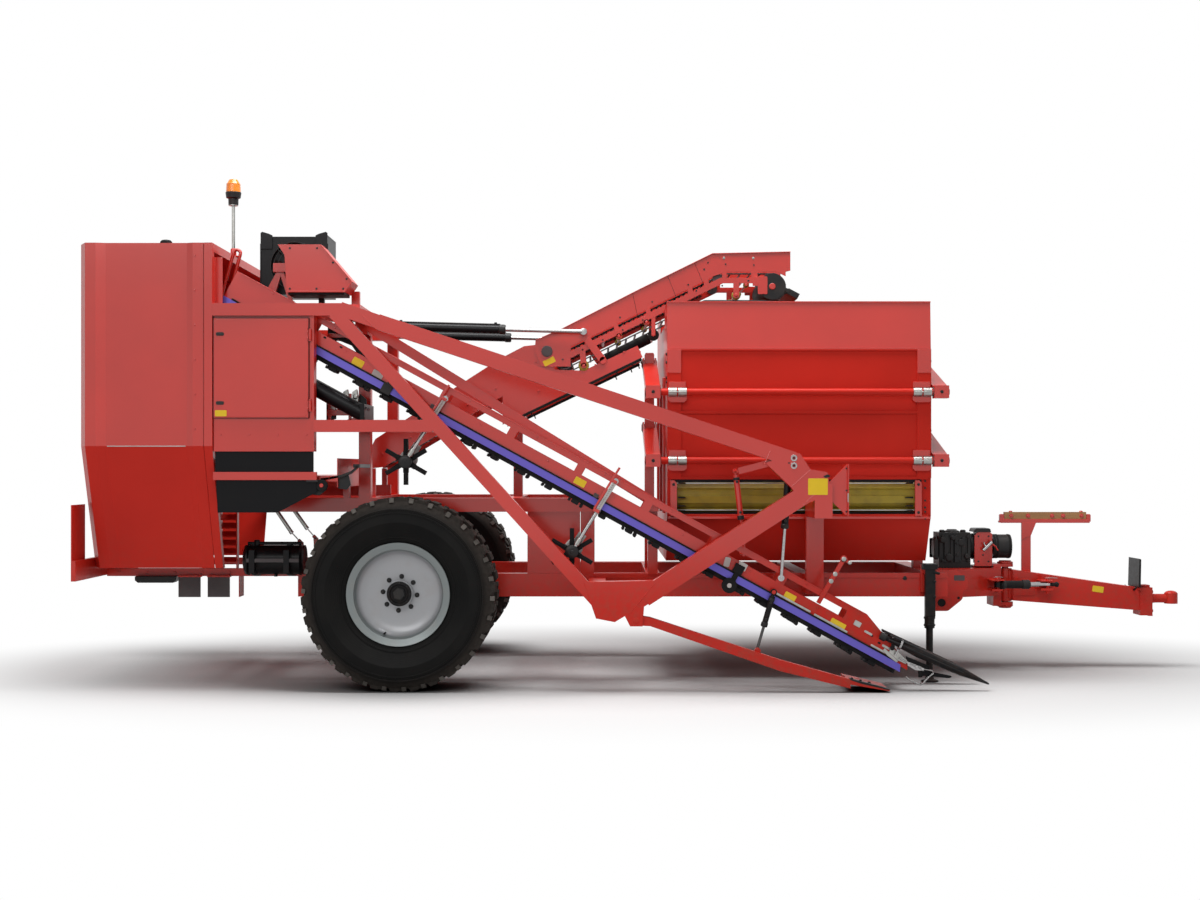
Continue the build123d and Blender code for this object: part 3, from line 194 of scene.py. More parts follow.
class Shader:
    """A material or a world under construction."""

    def __init__(self, owner: bpy.types.Material | bpy.types.World) -> None:
        """Starts an empty node tree.

        Args:
            owner: the new material or world.
        """
        self.owner = owner
        owner.use_nodes = True
        self.tree = owner.node_tree
        self.tree.nodes.clear()
        self._place: Socket | None = None
        self._normal: Socket | None = None

    def node(
        self,
        kind: str,
        settings: dict[str, object] | None = None,
        inputs: dict[str | int, object] | None = None,
        output: str | int = 0,
    ) -> Socket:
        """Adds one node.

        Args:
            kind: the node's type.
            settings: its properties, and "stops" for a ramp, set before anything else.
            inputs: values or links by socket name or number.
            output: the output that is returned.

        Returns:
            The chosen output.
        """
        made = self.tree.nodes.new(kind)
        for key, value in (settings or {}).items():
            if key == "stops":
                ramp = made.color_ramp
                while len(ramp.elements) < len(value):
                    ramp.elements.new(0.5)
                for element, (at, tint) in zip(ramp.elements, value):
                    element.position, element.color = at, (*tint, 1.0)
            else:
                setattr(made, key, value)
        for key, value in (inputs or {}).items():
            socket = made.inputs[key]
            if isinstance(value, Socket):
                self.tree.links.new(value.output, socket)
            elif isinstance(value, tuple) and len(value) == 3 and socket.type == "RGBA":
                socket.default_value = (*value, 1.0)
            else:
                socket.default_value = value
        return Socket(self, made.outputs[output])

    def place(self) -> Socket:
        """Position on the machine, in metres, fixed to each piece."""
        if self._place is None:
            self._place = self.node("ShaderNodeTexCoord", output="Object")
        return self._place

    def axis(self, name: str) -> Socket:
        """One coordinate of the position."""
        return self.node("ShaderNodeSeparateXYZ", None, {0: self.place()}, name)

    def facing(self, name: str) -> Socket:
        """How far the surface faces along an axis, from -1 to 1."""
        if self._normal is None:
            self._normal = self.node("ShaderNodeTexCoord", output="Normal")
        return self.node("ShaderNodeSeparateXYZ", None, {0: self._normal}, name)

    def noise(self, scale: float, detail: float = 3.0, stretch: Point = (1.0, 1.0, 1.0)) -> Socket:
        """Cloudy value between 0 and 1.

        Args:
            scale: clouds to the metre.
            detail: octaves.
            stretch: multiplier on each axis.

        Returns:
            The value.
        """
        where: Socket = self.place()
        if stretch != (1.0, 1.0, 1.0):
            where = self.node("ShaderNodeMapping", None, {"Vector": where, "Scale": stretch})
        return self.node("ShaderNodeTexNoise", None,
                         {"Vector": where, "Scale": scale, "Detail": detail})

    def mix(self, factor: Socket | float, first: object, second: object) -> Socket:
        """Blend of two colours.

        Args:
            factor: 0 for the first, 1 for the second.
            first: a colour or a link.
            second: a colour or a link.

        Returns:
            The colour.
        """
        return self.node(
            "ShaderNodeMix", {"data_type": "RGBA"}, {0: factor, 6: first, 7: second}, 2
        )

    def bump(self, height: Socket, depth: float, strength: float = 1.0,
             normal: Socket | None = None) -> Socket:
        """Surface normal from a height.

        Args:
            height: the height, 0 to 1.
            depth: metres that 1 stands for.
            strength: how much of it shows.
            normal: a normal to start from.

        Returns:
            The normal.
        """
        inputs: dict[str | int, object] = {"Height": height, "Distance": depth,
                "Strength": strength}
        if normal is not None:
            inputs["Normal"] = normal
        return self.node("ShaderNodeBump", None, inputs)

    def rounded(self, radius: float) -> Socket:
        """Normal that softens the model's sharp edges."""
        return self.node("ShaderNodeBevel", {"samples": 4}, {"Radius": radius})

    def close(self, shade: Socket, kind: str = "ShaderNodeOutputMaterial") -> None:
        """Links a shade to the output.

        Args:
            shade: the surface or background.
            kind: the output node's type.
        """
        end = self.tree.nodes.new(kind)
        self.tree.links.new(shade.output, end.inputs["Surface"])

    def surface(self, **sockets: object) -> bpy.types.Material:
        """Closes the tree with one principled surface.

        Args:
            sockets: inputs by name, with _ for a space.

        Returns:
            The material.
        """
        named = {key.replace("_", " "): value for key, value in sockets.items()}
        self.close(self.node("ShaderNodeBsdfPrincipled", None, named))
        return self.owner

    def shown(self) -> Socket:
        """1 where the camera, a mirror or glass looks, 0 for light that falls on things."""
        kinds = ("Is Camera Ray", "Is Glossy Ray", "Is Transmission Ray")
        rays = [self.node("ShaderNodeLightPath", output=kind) for kind in kinds]
        return rays[0] + rays[1] + rays[2]


@dataclass(frozen=True)
class Finish:
    """A surface finish, made once and shared by every piece that has it."""

    name: str
    slot: str

    def shade(self, shader: Shader) -> bpy.types.Material:
        """Fills the node tree.

        Args:
            shader: the empty material.

        Returns:
            The finished material.
        """
        raise NotImplementedError

    def material(self) -> bpy.types.Material:
        """The finish's material, made at its first use."""
        known = bpy.data.materials.get(self.name)
        return known or self.shade(Shader(bpy.data.materials.new(self.name)))


@dataclass(frozen=True)
class Enamel(Finish):
    """Sprayed gloss paint: clear-coated towards the sky, duller below and near the ground."""

    colour: Colour = (0.61, 0.025, 0.0145)
    roughness: float = 0.36
    coat: float = 0.95
    specular: float = 0.12
    dust: float = 0.35
    edge: float = 0.003
    dull_below: float = 0.85
    soft: float = 0.35
    least: float = 0.1

    def shade(self, shader: Shader) -> bpy.types.Material:
        """Paint, its slow shade changes, the coat's mask, road dust and softened edges."""
        cloud = shader.noise(1.7, 4.0)
        fine = shader.noise(26.0, 3.0)
        deep = tuple(c * 0.84 for c in self.colour)
        paint = shader.mix(cloud.above(0.5, 0.35), self.colour, deep)
        height = shader.axis("Z")
        grime = height.below(0.7, 0.6) * fine.above(0.56, 0.22) * self.dust
        base = shader.mix(grime, paint, SOIL)
        rough = grime * 0.45 + fine * 0.1 + (self.roughness - 0.05)
        sky = shader.facing("Z").above(-0.1, 0.06)
        flank = 1.0 - shader.facing("X").absolute().above(0.6, 0.25) * 0.8
        gloss = height.above(self.dull_below, self.soft) * (1.0 - self.least) + self.least
        top = 1.0 - shader.facing("Z").above(0.9, 0.08) * 0.75
        clear = sky * flank * top * gloss * self.coat
        peel = shader.bump(shader.noise(240.0, 2.0), 0.00025, 0.35, shader.rounded(self.edge))
        return shader.surface(Base_Color=base, Roughness=rough, Normal=peel, Coat_Weight=clear,
                              Coat_Roughness=0.16, Coat_IOR=1.62, Specular_IOR_Level=self.specular)


@dataclass(frozen=True)
class Rubber(Finish):
    """Moulded or sheet rubber, dull, with pale dust in clouds."""

    colour: Colour = (0.016, 0.016, 0.017)
    dusty: Colour = (0.055, 0.048, 0.042)
    amount: float = 0.5
    grain: float = 170.0

    def shade(self, shader: Shader) -> bpy.types.Material:
        """Black rubber with dust clouds and a fine mould grain."""
        cloud = shader.noise(7.0, 5.0)
        dust = cloud.above(0.55, 0.2) * self.amount
        base = shader.mix(dust, self.colour, self.dusty)
        grain = shader.bump(shader.noise(self.grain, 3.0), 0.0006, 0.5, shader.rounded(0.004))
        return shader.surface(Base_Color=base, Roughness=dust * 0.2 + 0.58, Normal=grain,
                              Specular_IOR_Level=0.1)


@dataclass(frozen=True)
class TyreRubber(Finish):
    """Tyre whose tread is browner and rougher than its side wall."""

    centre: Flat = AXLE
    tread_from: float = 0.6
    bead_to: float = 0.4

    def shade(self, shader: Shader) -> bpy.types.Material:
        """Dust by distance from the axle, rings on the side wall and a fine grain."""
        dx = shader.axis("X") - self.centre[0]
        dz = shader.axis("Z") - self.centre[1]
        radius = (dx * dx + dz * dz) ** 0.5
        tread = radius.above(self.tread_from, 0.035)
        wear = shader.noise(34.0, 5.0)
        earth = shader.mix(wear, (0.022, 0.019, 0.017), (0.06, 0.051, 0.044))
        cloud = shader.noise(5.0, 4.0).above(0.5, 0.3)
        wall = shader.mix(cloud, (0.004, 0.004, 0.004), (0.008, 0.0075, 0.007))
        base = shader.mix(tread * 0.85, wall, earth)
        rings = (radius * 520.0).sine() * radius.below(self.bead_to + 0.07, 0.02) * 0.5
        height = rings + wear * tread
        relief = shader.bump(height, 0.0012, 0.6, shader.rounded(0.006))
        return shader.surface(Base_Color=base, Roughness=tread * 0.22 + 0.6, Normal=relief,
                              Specular_IOR_Level=0.1)


@dataclass(frozen=True)
class Metal(Finish):
    """Bare, plated or chromed metal."""

    colour: Colour = (0.62, 0.62, 0.63)
    roughness: float = 0.25
    grain: Point = (1.0, 1.0, 1.0)
    scale: float = 60.0
    spread: float = 0.12

    def shade(self, shader: Shader) -> bpy.types.Material:
        """Metal with fine wear in its gloss."""
        wear = shader.noise(self.scale, 4.0, self.grain)
        dull = tuple(c * 0.72 for c in self.colour)
        return shader.surface(
            Base_Color=shader.mix(wear.above(0.5, 0.3), self.colour, dull), Metallic=1.0,
            Roughness=wear * self.spread + (self.roughness - self.spread / 2),
            Normal=shader.bump(wear, 0.0001, 0.3, shader.rounded(0.0015)))


@dataclass(frozen=True)
class SilverPaint(Finish):
    """Pale metallic wheel paint, darker towards its outer flange."""

    centre: Flat = AXLE
    flange: float = 0.295

    def shade(self, shader: Shader) -> bpy.types.Material:
        """Silver disc, greyer flange and a trace of dust."""
        dx = shader.axis("X") - self.centre[0]
        dz = shader.axis("Z") - self.centre[1]
        radius = (dx * dx + dz * dz) ** 0.5
        fleck = shader.noise(900.0, 1.0)
        disc = shader.mix(fleck, (0.3, 0.305, 0.32), (0.4, 0.405, 0.42))
        base = shader.mix(radius.above(self.flange, 0.006), disc, (0.2, 0.225, 0.225))
        dust = shader.noise(9.0, 5.0).above(0.62, 0.15) * 0.25
        return shader.surface(Base_Color=shader.mix(dust, base, (0.3, 0.27, 0.24)), Metallic=0.25,
                              Roughness=dust * 0.3 + 0.36, Coat_Weight=0.15, Coat_Roughness=0.2,
                              Normal=shader.rounded(0.003))


@dataclass(frozen=True)
class Moulded(Finish):
    """Plastic or composite in one colour, with a light texture."""

    colour: Colour = (0.1, 0.1, 0.1)
    roughness: float = 0.45
    grain: float = 220.0
    dirt: Colour = (0.06, 0.05, 0.04)
    dirty: float = 0.2
    specular: float = 0.25

    def shade(self, shader: Shader) -> bpy.types.Material:
        """Through-coloured plastic with soil on it."""
        soil = shader.noise(11.0, 5.0).above(0.56, 0.2) * self.dirty
        tone = shader.mix(shader.noise(3.0, 2.0), self.colour, tuple(c * 0.8 for c in self.colour))
        grain = shader.bump(shader.noise(self.grain, 2.0), 0.0003, 0.4, shader.rounded(0.002))
        return shader.surface(Base_Color=shader.mix(soil, tone, self.dirt), Normal=grain,
                              Roughness=soil * 0.3 + self.roughness,
                              Specular_IOR_Level=self.specular)


@dataclass(frozen=True)
class Timber(Finish):
    """Sealed hardwood board with its grain along X."""

    pale: Colour = (0.5, 0.27, 0.105)
    dark: Colour = (0.27, 0.13, 0.048)

    def shade(self, shader: Shader) -> bpy.types.Material:
        """Long grain, darker streaks and a thin seal."""
        grain = shader.noise(9.0, 6.0, (1.0, 9.0, 9.0))
        streak = shader.noise(3.0, 3.0, (0.6, 20.0, 20.0)).above(0.58, 0.12)
        base = shader.mix(streak * 0.6, shader.mix(grain, self.pale, self.dark), self.dark)
        return shader.surface(Base_Color=base, Roughness=grain * 0.2 + 0.42,
                              Normal=shader.bump(grain, 0.0006, 0.6, shader.rounded(0.003)))


@dataclass(frozen=True)
class Lens(Finish):
    """Coloured lamp lens with moulded ribs."""

    colour: Colour = (0.84, 0.25, 0.006)
    ribs: float = 700.0

    def shade(self, shader: Shader) -> bpy.types.Material:
        """Glossy lens with painted highlights along its ribs and a faint painted glow."""
        rib = (shader.axis("Z") * self.ribs).sine() * 0.5 + 0.5
        # Base colour lighter along each rib is a painted highlight; the same colour feeds a weak
        # emission, a painted glow.
        rib_highlight_glow = shader.mix(rib, self.colour, tuple(min(1.0, c * 1.25) for c in self.colour))
        return shader.surface(Base_Color=rib_highlight_glow, Roughness=0.12, Transmission_Weight=0.25, IOR=1.49,
                              Normal=shader.bump(rib, 0.0008, 0.5), Coat_Weight=0.3,
                              Emission_Color=rib_highlight_glow, Emission_Strength=0.1)


RED = Enamel("red_enamel", "red_paint")
BUNKER = Enamel("bunker_enamel", "red_paint", dull_below=2.383, soft=0.003, least=0.0)
BLACK = Enamel("black_enamel", "black_paint", colour=(0.006, 0.006, 0.007), roughness=0.38,
               dust=0.12,
               coat=0.05, specular=0.14)
VIOLET = Moulded("violet_guard", "violet_guard", colour=(0.105, 0.085, 0.56), roughness=0.5,
                 dirty=0.12)
TYRE = TyreRubber("tyre_rubber", "tyre")
RIM = SilverPaint("wheel_silver", "rim_grey")
RUBBER = Rubber("black_rubber", "rubber", colour=(0.009, 0.009, 0.01), dusty=(0.03, 0.027, 0.024))
CURTAIN = Rubber("curtain_rubber", "rubber", colour=(0.008, 0.008, 0.009),
                 dusty=(0.014, 0.013, 0.013),
                 amount=0.35)
CHROME = Metal("hard_chrome", "chrome", colour=(0.44, 0.43, 0.43), roughness=0.18, spread=0.06)
STEEL = Metal("bright_steel", "steel", colour=(0.4, 0.4, 0.41), roughness=0.38)
WEB = Metal("web_steel", "steel", colour=(0.1, 0.1, 0.1), roughness=0.5, scale=25.0)
ZINC = Metal("zinc_plate", "steel", colour=(0.4, 0.4, 0.38), roughness=0.32, scale=25.0)
SLAT = Moulded("yellow_slat", "slat_yellow", colour=(0.42, 0.31, 0.035), roughness=0.36, dirty=0.3)
AMBER = Lens("amber_lens", "amber")
TIMBER = Timber("board_timber", "plank_brown")
CAST = Moulded("cast_black", "cast", colour=(0.012, 0.012, 0.013), roughness=0.4, grain=90.0,
               dirty=0.3)
LABEL = Moulded("label_yellow", "slat_yellow", colour=(0.92, 0.62, 0.03), roughness=0.35,
                dirty=0.05)
SHOULDER = Rubber("shoulder_rubber", "tyre", colour=(0.085, 0.078, 0.07), dusty=(0.17, 0.155, 0.14),
                  amount=0.8)
FLAP = Rubber("grey_flap", "rubber", colour=(0.1, 0.088, 0.09), dusty=(0.14, 0.125, 0.12))
PALE = Moulded("pale_plate", "chrome", colour=(0.62, 0.6, 0.58), roughness=0.42, dirty=0.2)


# ------------------------------------------------------------------ meshes
class Form:
    """One mesh under construction, in metres, in the machine's own frame."""

    def __init__(self) -> None:
        """Starts an empty mesh."""
        self.mesh = bmesh.new()

    def prism(self, outline: Sequence[Flat], axis: Axis, span: Flat) -> "Form":
        """Draws an outline out along an axis.

        Args:
            outline: corners in the plane square to the axis: (y, z), (x, z) or (x, y).
            axis: the direction.
            span: low and high place along it.

        Returns:
            The form itself.
        """
        spread: dict[Axis, Callable[[Flat, float], Point]] = {
            Axis.X: lambda p, a: (a, p[0], p[1]),
            Axis.Y: lambda p, a: (p[0], a, p[1]),
            Axis.Z: lambda p, a: (p[0], p[1], a),
        }
        put = spread[axis]
        low = [self.mesh.verts.new(put(p, span[0])) for p in outline]
        high = [self.mesh.verts.new(put(p, span[1])) for p in outline]
        count = len(outline)
        faces = [self.mesh.faces.new(low), self.mesh.faces.new(high[::-1])]
        faces += [self.mesh.faces.new((low[i], high[i], high[(i + 1) % count],
                low[(i + 1) % count]))
                  for i in range(count)]
        bmesh.ops.recalc_face_normals(self.mesh, faces=faces)
        return self

    def plate(self, outline: Sequence[Flat], low: float, high: float) -> "Form":
        """Draws an (x, z) outline out from one Y to another."""
        return self.prism(outline, Axis.Y, (low, high))

    def box(self, x: Flat, y: Flat, z: Flat) -> "Form":
        """Adds a box between three (low, high) pairs."""
        return self.prism([(x[0], z[0]), (x[1], z[0]), (x[1], z[1]), (x[0], z[1])], Axis.Y, y)

    def lathe(self, start: Place, end: Place, profile: Sequence[Flat], sides: int = 20,
              closed: bool = False) -> "Form":
        """Turns a closed form about a line.

        Args:
            start: a point on the line.
            end: the line's other point.
            profile: (metres along the line, radius), with the ends capped.
            sides: facets round it.
            closed: whether the profile is a ring's section instead.

        Returns:
            The form itself.
        """
        origin = Vector(start)
        along = (Vector(end) - origin).normalized()
        side = along.orthogonal().normalized()
        up = along.cross(side)
        rings = []
        for at, radius in profile:
            centre = origin + along * at
            rings.append([
                self.mesh.verts.new(centre + (side * math.cos(t) + up * math.sin(t)) * radius)
                for t in (2 * math.pi * i / sides for i in range(sides))
            ])
        faces = [] if closed else [self.mesh.faces.new(rings[0][::-1]),
                                   self.mesh.faces.new(rings[-1])]
        for a, b in zip(rings, rings[1:] + rings[:1] if closed else rings[1:]):
            faces += [self.mesh.faces.new((a[i], a[(i + 1) % sides], b[(i + 1) % sides], b[i]))
                      for i in range(sides)]
        bmesh.ops.recalc_face_normals(self.mesh, faces=faces)
        return self

    def stud(self, at: Point, profile: Sequence[Flat], sides: int = 20,
             closed: bool = False) -> "Form":
        """Turns a form whose face looks away from the centre plane; see lathe."""
        return self.lathe(at, (at[0], 0.0, at[2]), profile, sides, closed)

    def hull(self, corners: Sequence[Place]) -> "Form":
        """Adds the smallest convex block round some points."""
        points = [self.mesh.verts.new(corner) for corner in corners]
        made = bmesh.ops.convex_hull(self.mesh, input=points)
        inside = [v for v in made["geom_interior"] if isinstance(v, bmesh.types.BMVert)]
        bmesh.ops.delete(self.mesh, geom=inside, context="VERTS")
        return self

    def rod(self, start: Place, end: Place, radius: float, sides: int = 16,
            chamfer: float = 0.0) -> "Form":
        """Adds a round bar with an optional chamfer at both ends."""
        length = (Vector(end) - Vector(start)).length
        profile = [(0.0, radius), (length, radius)]
        if chamfer:
            profile = [(0.0, radius - chamfer), (chamfer, radius), (length - chamfer, radius),
                       (length, radius - chamfer)]
        return self.lathe(start, end, profile, sides)

    def bolt(self, at: Place, out: Place, size: float) -> "Form":
        """Adds a washer, a hexagon head and the end of the thread.

        Args:
            at: the seat's centre.
            out: the direction that the head stands out in.
            size: width across the head's corners.

        Returns:
            The form itself.
        """
        seat, way = Vector(at), Vector(out).normalized()
        tip = seat + way
        self.lathe(seat - way * 0.001, tip, [(0.0, size * 0.72), (0.0035, size * 0.72)], 16)
        return self.lathe(seat + way * 0.002, tip,
                          [(0.0, size * 0.5), (size * 0.3, size * 0.5), (size * 0.36, size * 0.4)],
                          6)

    def sweep(self, path: Sequence[Place], radius: float, sides: int = 10) -> "Form":
        """Adds a round tube along a chain of points.

        Args:
            path: the points.
            radius: the tube's radius.
            sides: facets round it.

        Returns:
            The form itself.
        """
        points = [Vector(p) for p in path]
        side = None
        rings = []
        for i, point in enumerate(points):
            ahead = points[min(i + 1, len(points) - 1)] - points[max(i - 1, 0)]
            ahead.normalize()
            side = ahead.orthogonal() if side is None else side - ahead * side.dot(ahead)
            side.normalize()
            up = ahead.cross(side)
            rings.append([
                self.mesh.verts.new(point + (side * math.cos(t) + up * math.sin(t)) * radius)
                for t in (2 * math.pi * k / sides for k in range(sides))
            ])
        faces = [self.mesh.faces.new(rings[0][::-1]), self.mesh.faces.new(rings[-1])]
        for a, b in zip(rings, rings[1:]):
            faces += [self.mesh.faces.new((a[k], a[(k + 1) % sides], b[(k + 1) % sides], b[k]))
                      for k in range(sides)]
        bmesh.ops.recalc_face_normals(self.mesh, faces=faces)
        return self

    def piece(self, name: str, finish: Finish, body: str, bevel: float = 0.0,
              smooth: bool = True) -> bpy.types.Object:
        """Turns the mesh into an object that rides on a body.

        Args:
            name: the piece's name.
            finish: its finish.
            body: the CAD body that carries it.
            bevel: width of the rounding on its sharp edges.
            smooth: whether round faces are shaded smooth.

        Returns:
            The object.
        """
        data = bpy.data.meshes.new(name)
        if bevel:
            edges = [e for e in self.mesh.edges
                     if e.is_manifold and e.calc_face_angle(0.0) > BEVEL_FROM]
            bmesh.ops.bevel(self.mesh, geom=edges, offset=bevel, segments=2, affect="EDGES",
                            profile=0.5,
                            clamp_overlap=True)
        self.mesh.to_mesh(data)
        self.mesh.free()
        made = bpy.data.objects.new(name, data)
        bpy.context.scene.collection.objects.link(made)
        data.materials.append(finish.material())
        if smooth:
            data.shade_smooth()
            data.set_sharp_from_angle(angle=SHARP_FROM)
            made.modifiers.new("weighted", "WEIGHTED_NORMAL").keep_sharp = True
        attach(made, body)
        log.info("%s: %d faces on %s", name, len(data.polygons), body)
        return made


# ------------------------------------------------------------------ outlines and tables
def tilted(centre: Flat, size: Flat, turn: float = 0.0, corner: float = 0.0) -> list[Flat]:
    """Outline of a rectangle, with its corners rounded.

    Args:
        centre: its middle.
        size: length and height.
        turn: degrees that it is turned by.
        corner: radius of the corners.

    Returns:
        The corners in order.
    """
    half = (size[0] / 2 - corner, size[1] / 2 - corner)
    angle = math.radians(turn)
    outline = []
    for quarter, (sx, sz) in enumerate(((1, 1), (-1, 1), (-1, -1), (1, -1))):
        for step in range(4 if corner else 1):
            way = math.radians(90 * quarter + 30 * step)
            x = sx * half[0] + math.cos(way) * corner
            z = sz * half[1] + math.sin(way) * corner
            outline.append((centre[0] + x * math.cos(angle) - z * math.sin(angle),
                            centre[1] + x * math.sin(angle) + z * math.cos(angle)))
    return outline


def strip(start: Flat, end: Flat, depth: float) -> list[Flat]:
    """Outline of a straight bar between two points on its centre line."""
    middle = ((start[0] + end[0]) / 2, (start[1] + end[1]) / 2)
    run = (end[0] - start[0], end[1] - start[1])
    return tilted(middle, (math.hypot(*run), depth), math.degrees(math.atan2(run[1], run[0])))


def around(centre: Flat, radius: float, way: float) -> Flat:
    """Place at a radius and an angle in radians, counted from the first axis."""
    return centre[0] + radius * math.cos(way), centre[1] + radius * math.sin(way)


def clock(centre: Flat, radius: float, turn: float) -> Flat:
    """Place at a radius and an angle in degrees, counted from straight up."""
    way = math.radians(turn)
    return centre[0] + radius * math.sin(way), centre[1] + radius * math.cos(way)


def circle(centre: Flat, radius: float, sides: int = 24) -> list[Flat]:
    """Outline of a round plate."""
    return [around(centre, radius, 2 * math.pi * i / sides) for i in range(sides)]


class Patch(NamedTuple):
    """Thin flat piece on a face that is square to Y."""

    name: str
    body: str
    finish: Finish
    centre: Flat
    size: Flat
    turn: float
    face: float
    thick: float = 0.0012
    corner: float = 0.006


class BoltLine(NamedTuple):
    """Equal bolts in a line."""

    start: Point
    end: Point
    count: int
    out: Point
    size: float


def patches(rows: Sequence[Patch]) -> None:
    """Lays thin flat pieces on faces that look to the machine's right.

    Args:
        rows: the pieces.
    """
    for row in rows:
        outline = tilted(row.centre, row.size, row.turn, row.corner)
        Form().plate(outline, row.face - row.thick, row.face + 0.001).piece(
            row.name, row.finish, row.body, bevel=0.0004)


def single(at: Point, out: Point, size: float) -> BoltLine:
    """One bolt by itself."""
    return BoltLine(at, at, 1, out, size)


def bolts(name: str, body: str, finish: Finish, rows: Sequence[BoltLine]) -> None:
    """Makes one piece of several lines of bolts.

    Args:
        name: the piece's name.
        body: the body that carries it.
        finish: its finish.
        rows: the lines.
    """
    form = Form()
    for row in rows:
        start, end = Vector(row.start), Vector(row.end)
        for i in range(row.count):
            at = start.lerp(end, i / max(1, row.count - 1))
            form.bolt(at, row.out, row.size)
    form.piece(name, finish, body)


# ------------------------------------------------------------------ assemblies
OUT: Point = (0.0, -1.0, 0.0)
FORE: Point = (1.0, 0.0, 0.0)
BACK: Point = (-1.0, 0.0, 0.0)
UP: Point = (0.0, 0.0, 1.0)


@dataclass
class Wheel:
    """Road wheel: dished disc, flange, hub cap, nuts, valve and the tread's finer blocks."""

    side: Side
    axle: Flat = AXLE
    track: float = 2.4
    rim: float = 0.331
    nut_circle: float = 0.118
    nuts: int = 8
    lugs: int = 30
    crest: float = 0.664
    slant: float = 5.2

    def out(self, y: float) -> float:
        """Side place from a distance out from the centre plane."""
        return self.side.value * y

    def spot(self, radius: float, turn: float) -> Flat:
        """(x, z) at a radius and an angle in degrees about the axle."""
        return clock(self.axle, radius, turn)

    def turned(self, name: str, finish: Finish, profile: Sequence[Flat], closed: bool,
               sides: int = 64) -> None:
        """One turned piece about the axle.

        Args:
            name: the piece's name without its side.
            finish: its finish.
            profile: (distance out from the centre plane, radius).
            closed: whether the profile is a ring's section.
            sides: facets round it.
        """
        form = Form()
        start = (self.axle[0], 0.0, self.axle[1])
        form.lathe(start, (self.axle[0], self.out(1.0), self.axle[1]), profile, sides, closed)
        form.piece(f"{name}_{self.side.word}", finish, f"wheel_{self.side.word}")

    def disc(self) -> None:
        """Flange, dished disc, hub cap and nuts."""
        rim = self.rim
        self.turned("rim_flange", RIM,
                    [(1.3, rim), (1.4, 0.306), (1.416, 0.308), (1.434, 0.344), (1.438, 0.354),
                                        (1.432, 0.357), (1.424, 0.355), (1.405, rim)], True, 96)
        self.turned("rim_dish", RIM,
                    [(1.403, 0.308), (1.374, 0.303), (1.346, 0.289), (1.326, 0.262), (1.315, 0.22),
                                      (1.31, 0.16), (1.309, 0.088), (1.279, 0.088), (1.279, 0.325),
                                      (1.3, rim - 0.001), (1.395, 0.318)], True, 96)
        self.turned("hub_cap", BLACK,
                    [(1.305, 0.088), (1.36, 0.088), (1.372, 0.083), (1.374, 0.066), (1.366, 0.06),
                                       (1.366, 0.05), (1.371, 0.048)], False, 48)
        self.turned("hub_hexagon", CAST, [(1.36, 0.046), (1.383, 0.046), (1.388, 0.04)], False, 6)
        form = Form()
        for i in range(self.nuts):
            x, z = self.spot(self.nut_circle, 360 / self.nuts * (i + 0.12))
            form.lathe((x, self.out(1.308), z), (x, self.out(1.4), z),
                       [(0.0, 0.017), (0.004, 0.017)], 20)
            form.lathe((x, self.out(1.31), z), (x, self.out(1.4), z),
                       [(0.0, 0.0135), (0.016, 0.0135), (0.019, 0.011)], 6)
            form.lathe((x, self.out(1.32), z), (x, self.out(1.4), z),
                       [(0.0, 0.0075), (0.014, 0.0075)], 12)
            cx, cz = self.spot(0.074, 360 / self.nuts * i)
            form.lathe((cx, self.out(1.372), cz), (cx, self.out(1.4), cz),
                       [(0.0, 0.005), (0.005, 0.005)], 8)
        form.piece(f"wheel_nuts_{self.side.word}", CAST, f"wheel_{self.side.word}")
        x, z = self.spot(0.286, 200)
        Form().rod((x, self.out(1.33), z), (x, self.out(1.405), z), 0.006, 12, 0.001).piece(
            f"valve_{self.side.word}", RUBBER, f"wheel_{self.side.word}")

    def tread(self) -> None:
        """Slanted bars across the tread, pale shoulder blocks and side-wall bands."""
        pitch = 360 / self.lugs
        top = self.crest
        bars, ends = Form(), Form()
        for i in range(self.lugs):
            for row, start in ((-1, 0.0), (1, pitch / 2)):
                base = start + i * pitch
                inner, outer = self.track / 2 + row * 0.012, self.track / 2 + row * 0.238
                corners = []
                for y, shift in ((inner, self.slant), (outer, 0.6)):
                    for turn in (base + shift + 3.0, base + shift + 6.4):
                        for radius in (0.636, top - 0.005):
                            x, z = self.spot(radius, turn)
                            corners.append((x, self.out(y), z))
                bars.hull(corners)
                block = []
                for shift, radius in ((-0.012, top), (0.006, top - 0.002), (0.022, 0.632),
                        (-0.012, 0.632)):
                    for turn in (base + 0.9, base + 3.6):
                        x, z = self.spot(radius, turn)
                        block.append((x, self.out(outer + row * shift), z))
                ends.hull(block)
        bars.piece(f"tread_bars_{self.side.word}", TYRE, f"wheel_{self.side.word}", smooth=False)
        ends.piece(f"shoulder_blocks_{self.side.word}", SHOULDER, f"wheel_{self.side.word}",
                   smooth=False)
        for number, (radius, y) in enumerate(((0.395, 1.4465), (0.56, 1.4975), (0.585, 1.497))):
            self.turned(f"wall_band_{number}", TYRE,
                        [(y - 0.003, radius - 0.006), (y + 0.0015, radius - 0.004),
                                                      (y + 0.0015, radius + 0.004),
                                                      (y - 0.003, radius + 0.006)], True, 96)

    def dress(self) -> None:
        """Builds the wheel's pieces."""
        self.disc()
        self.tread()


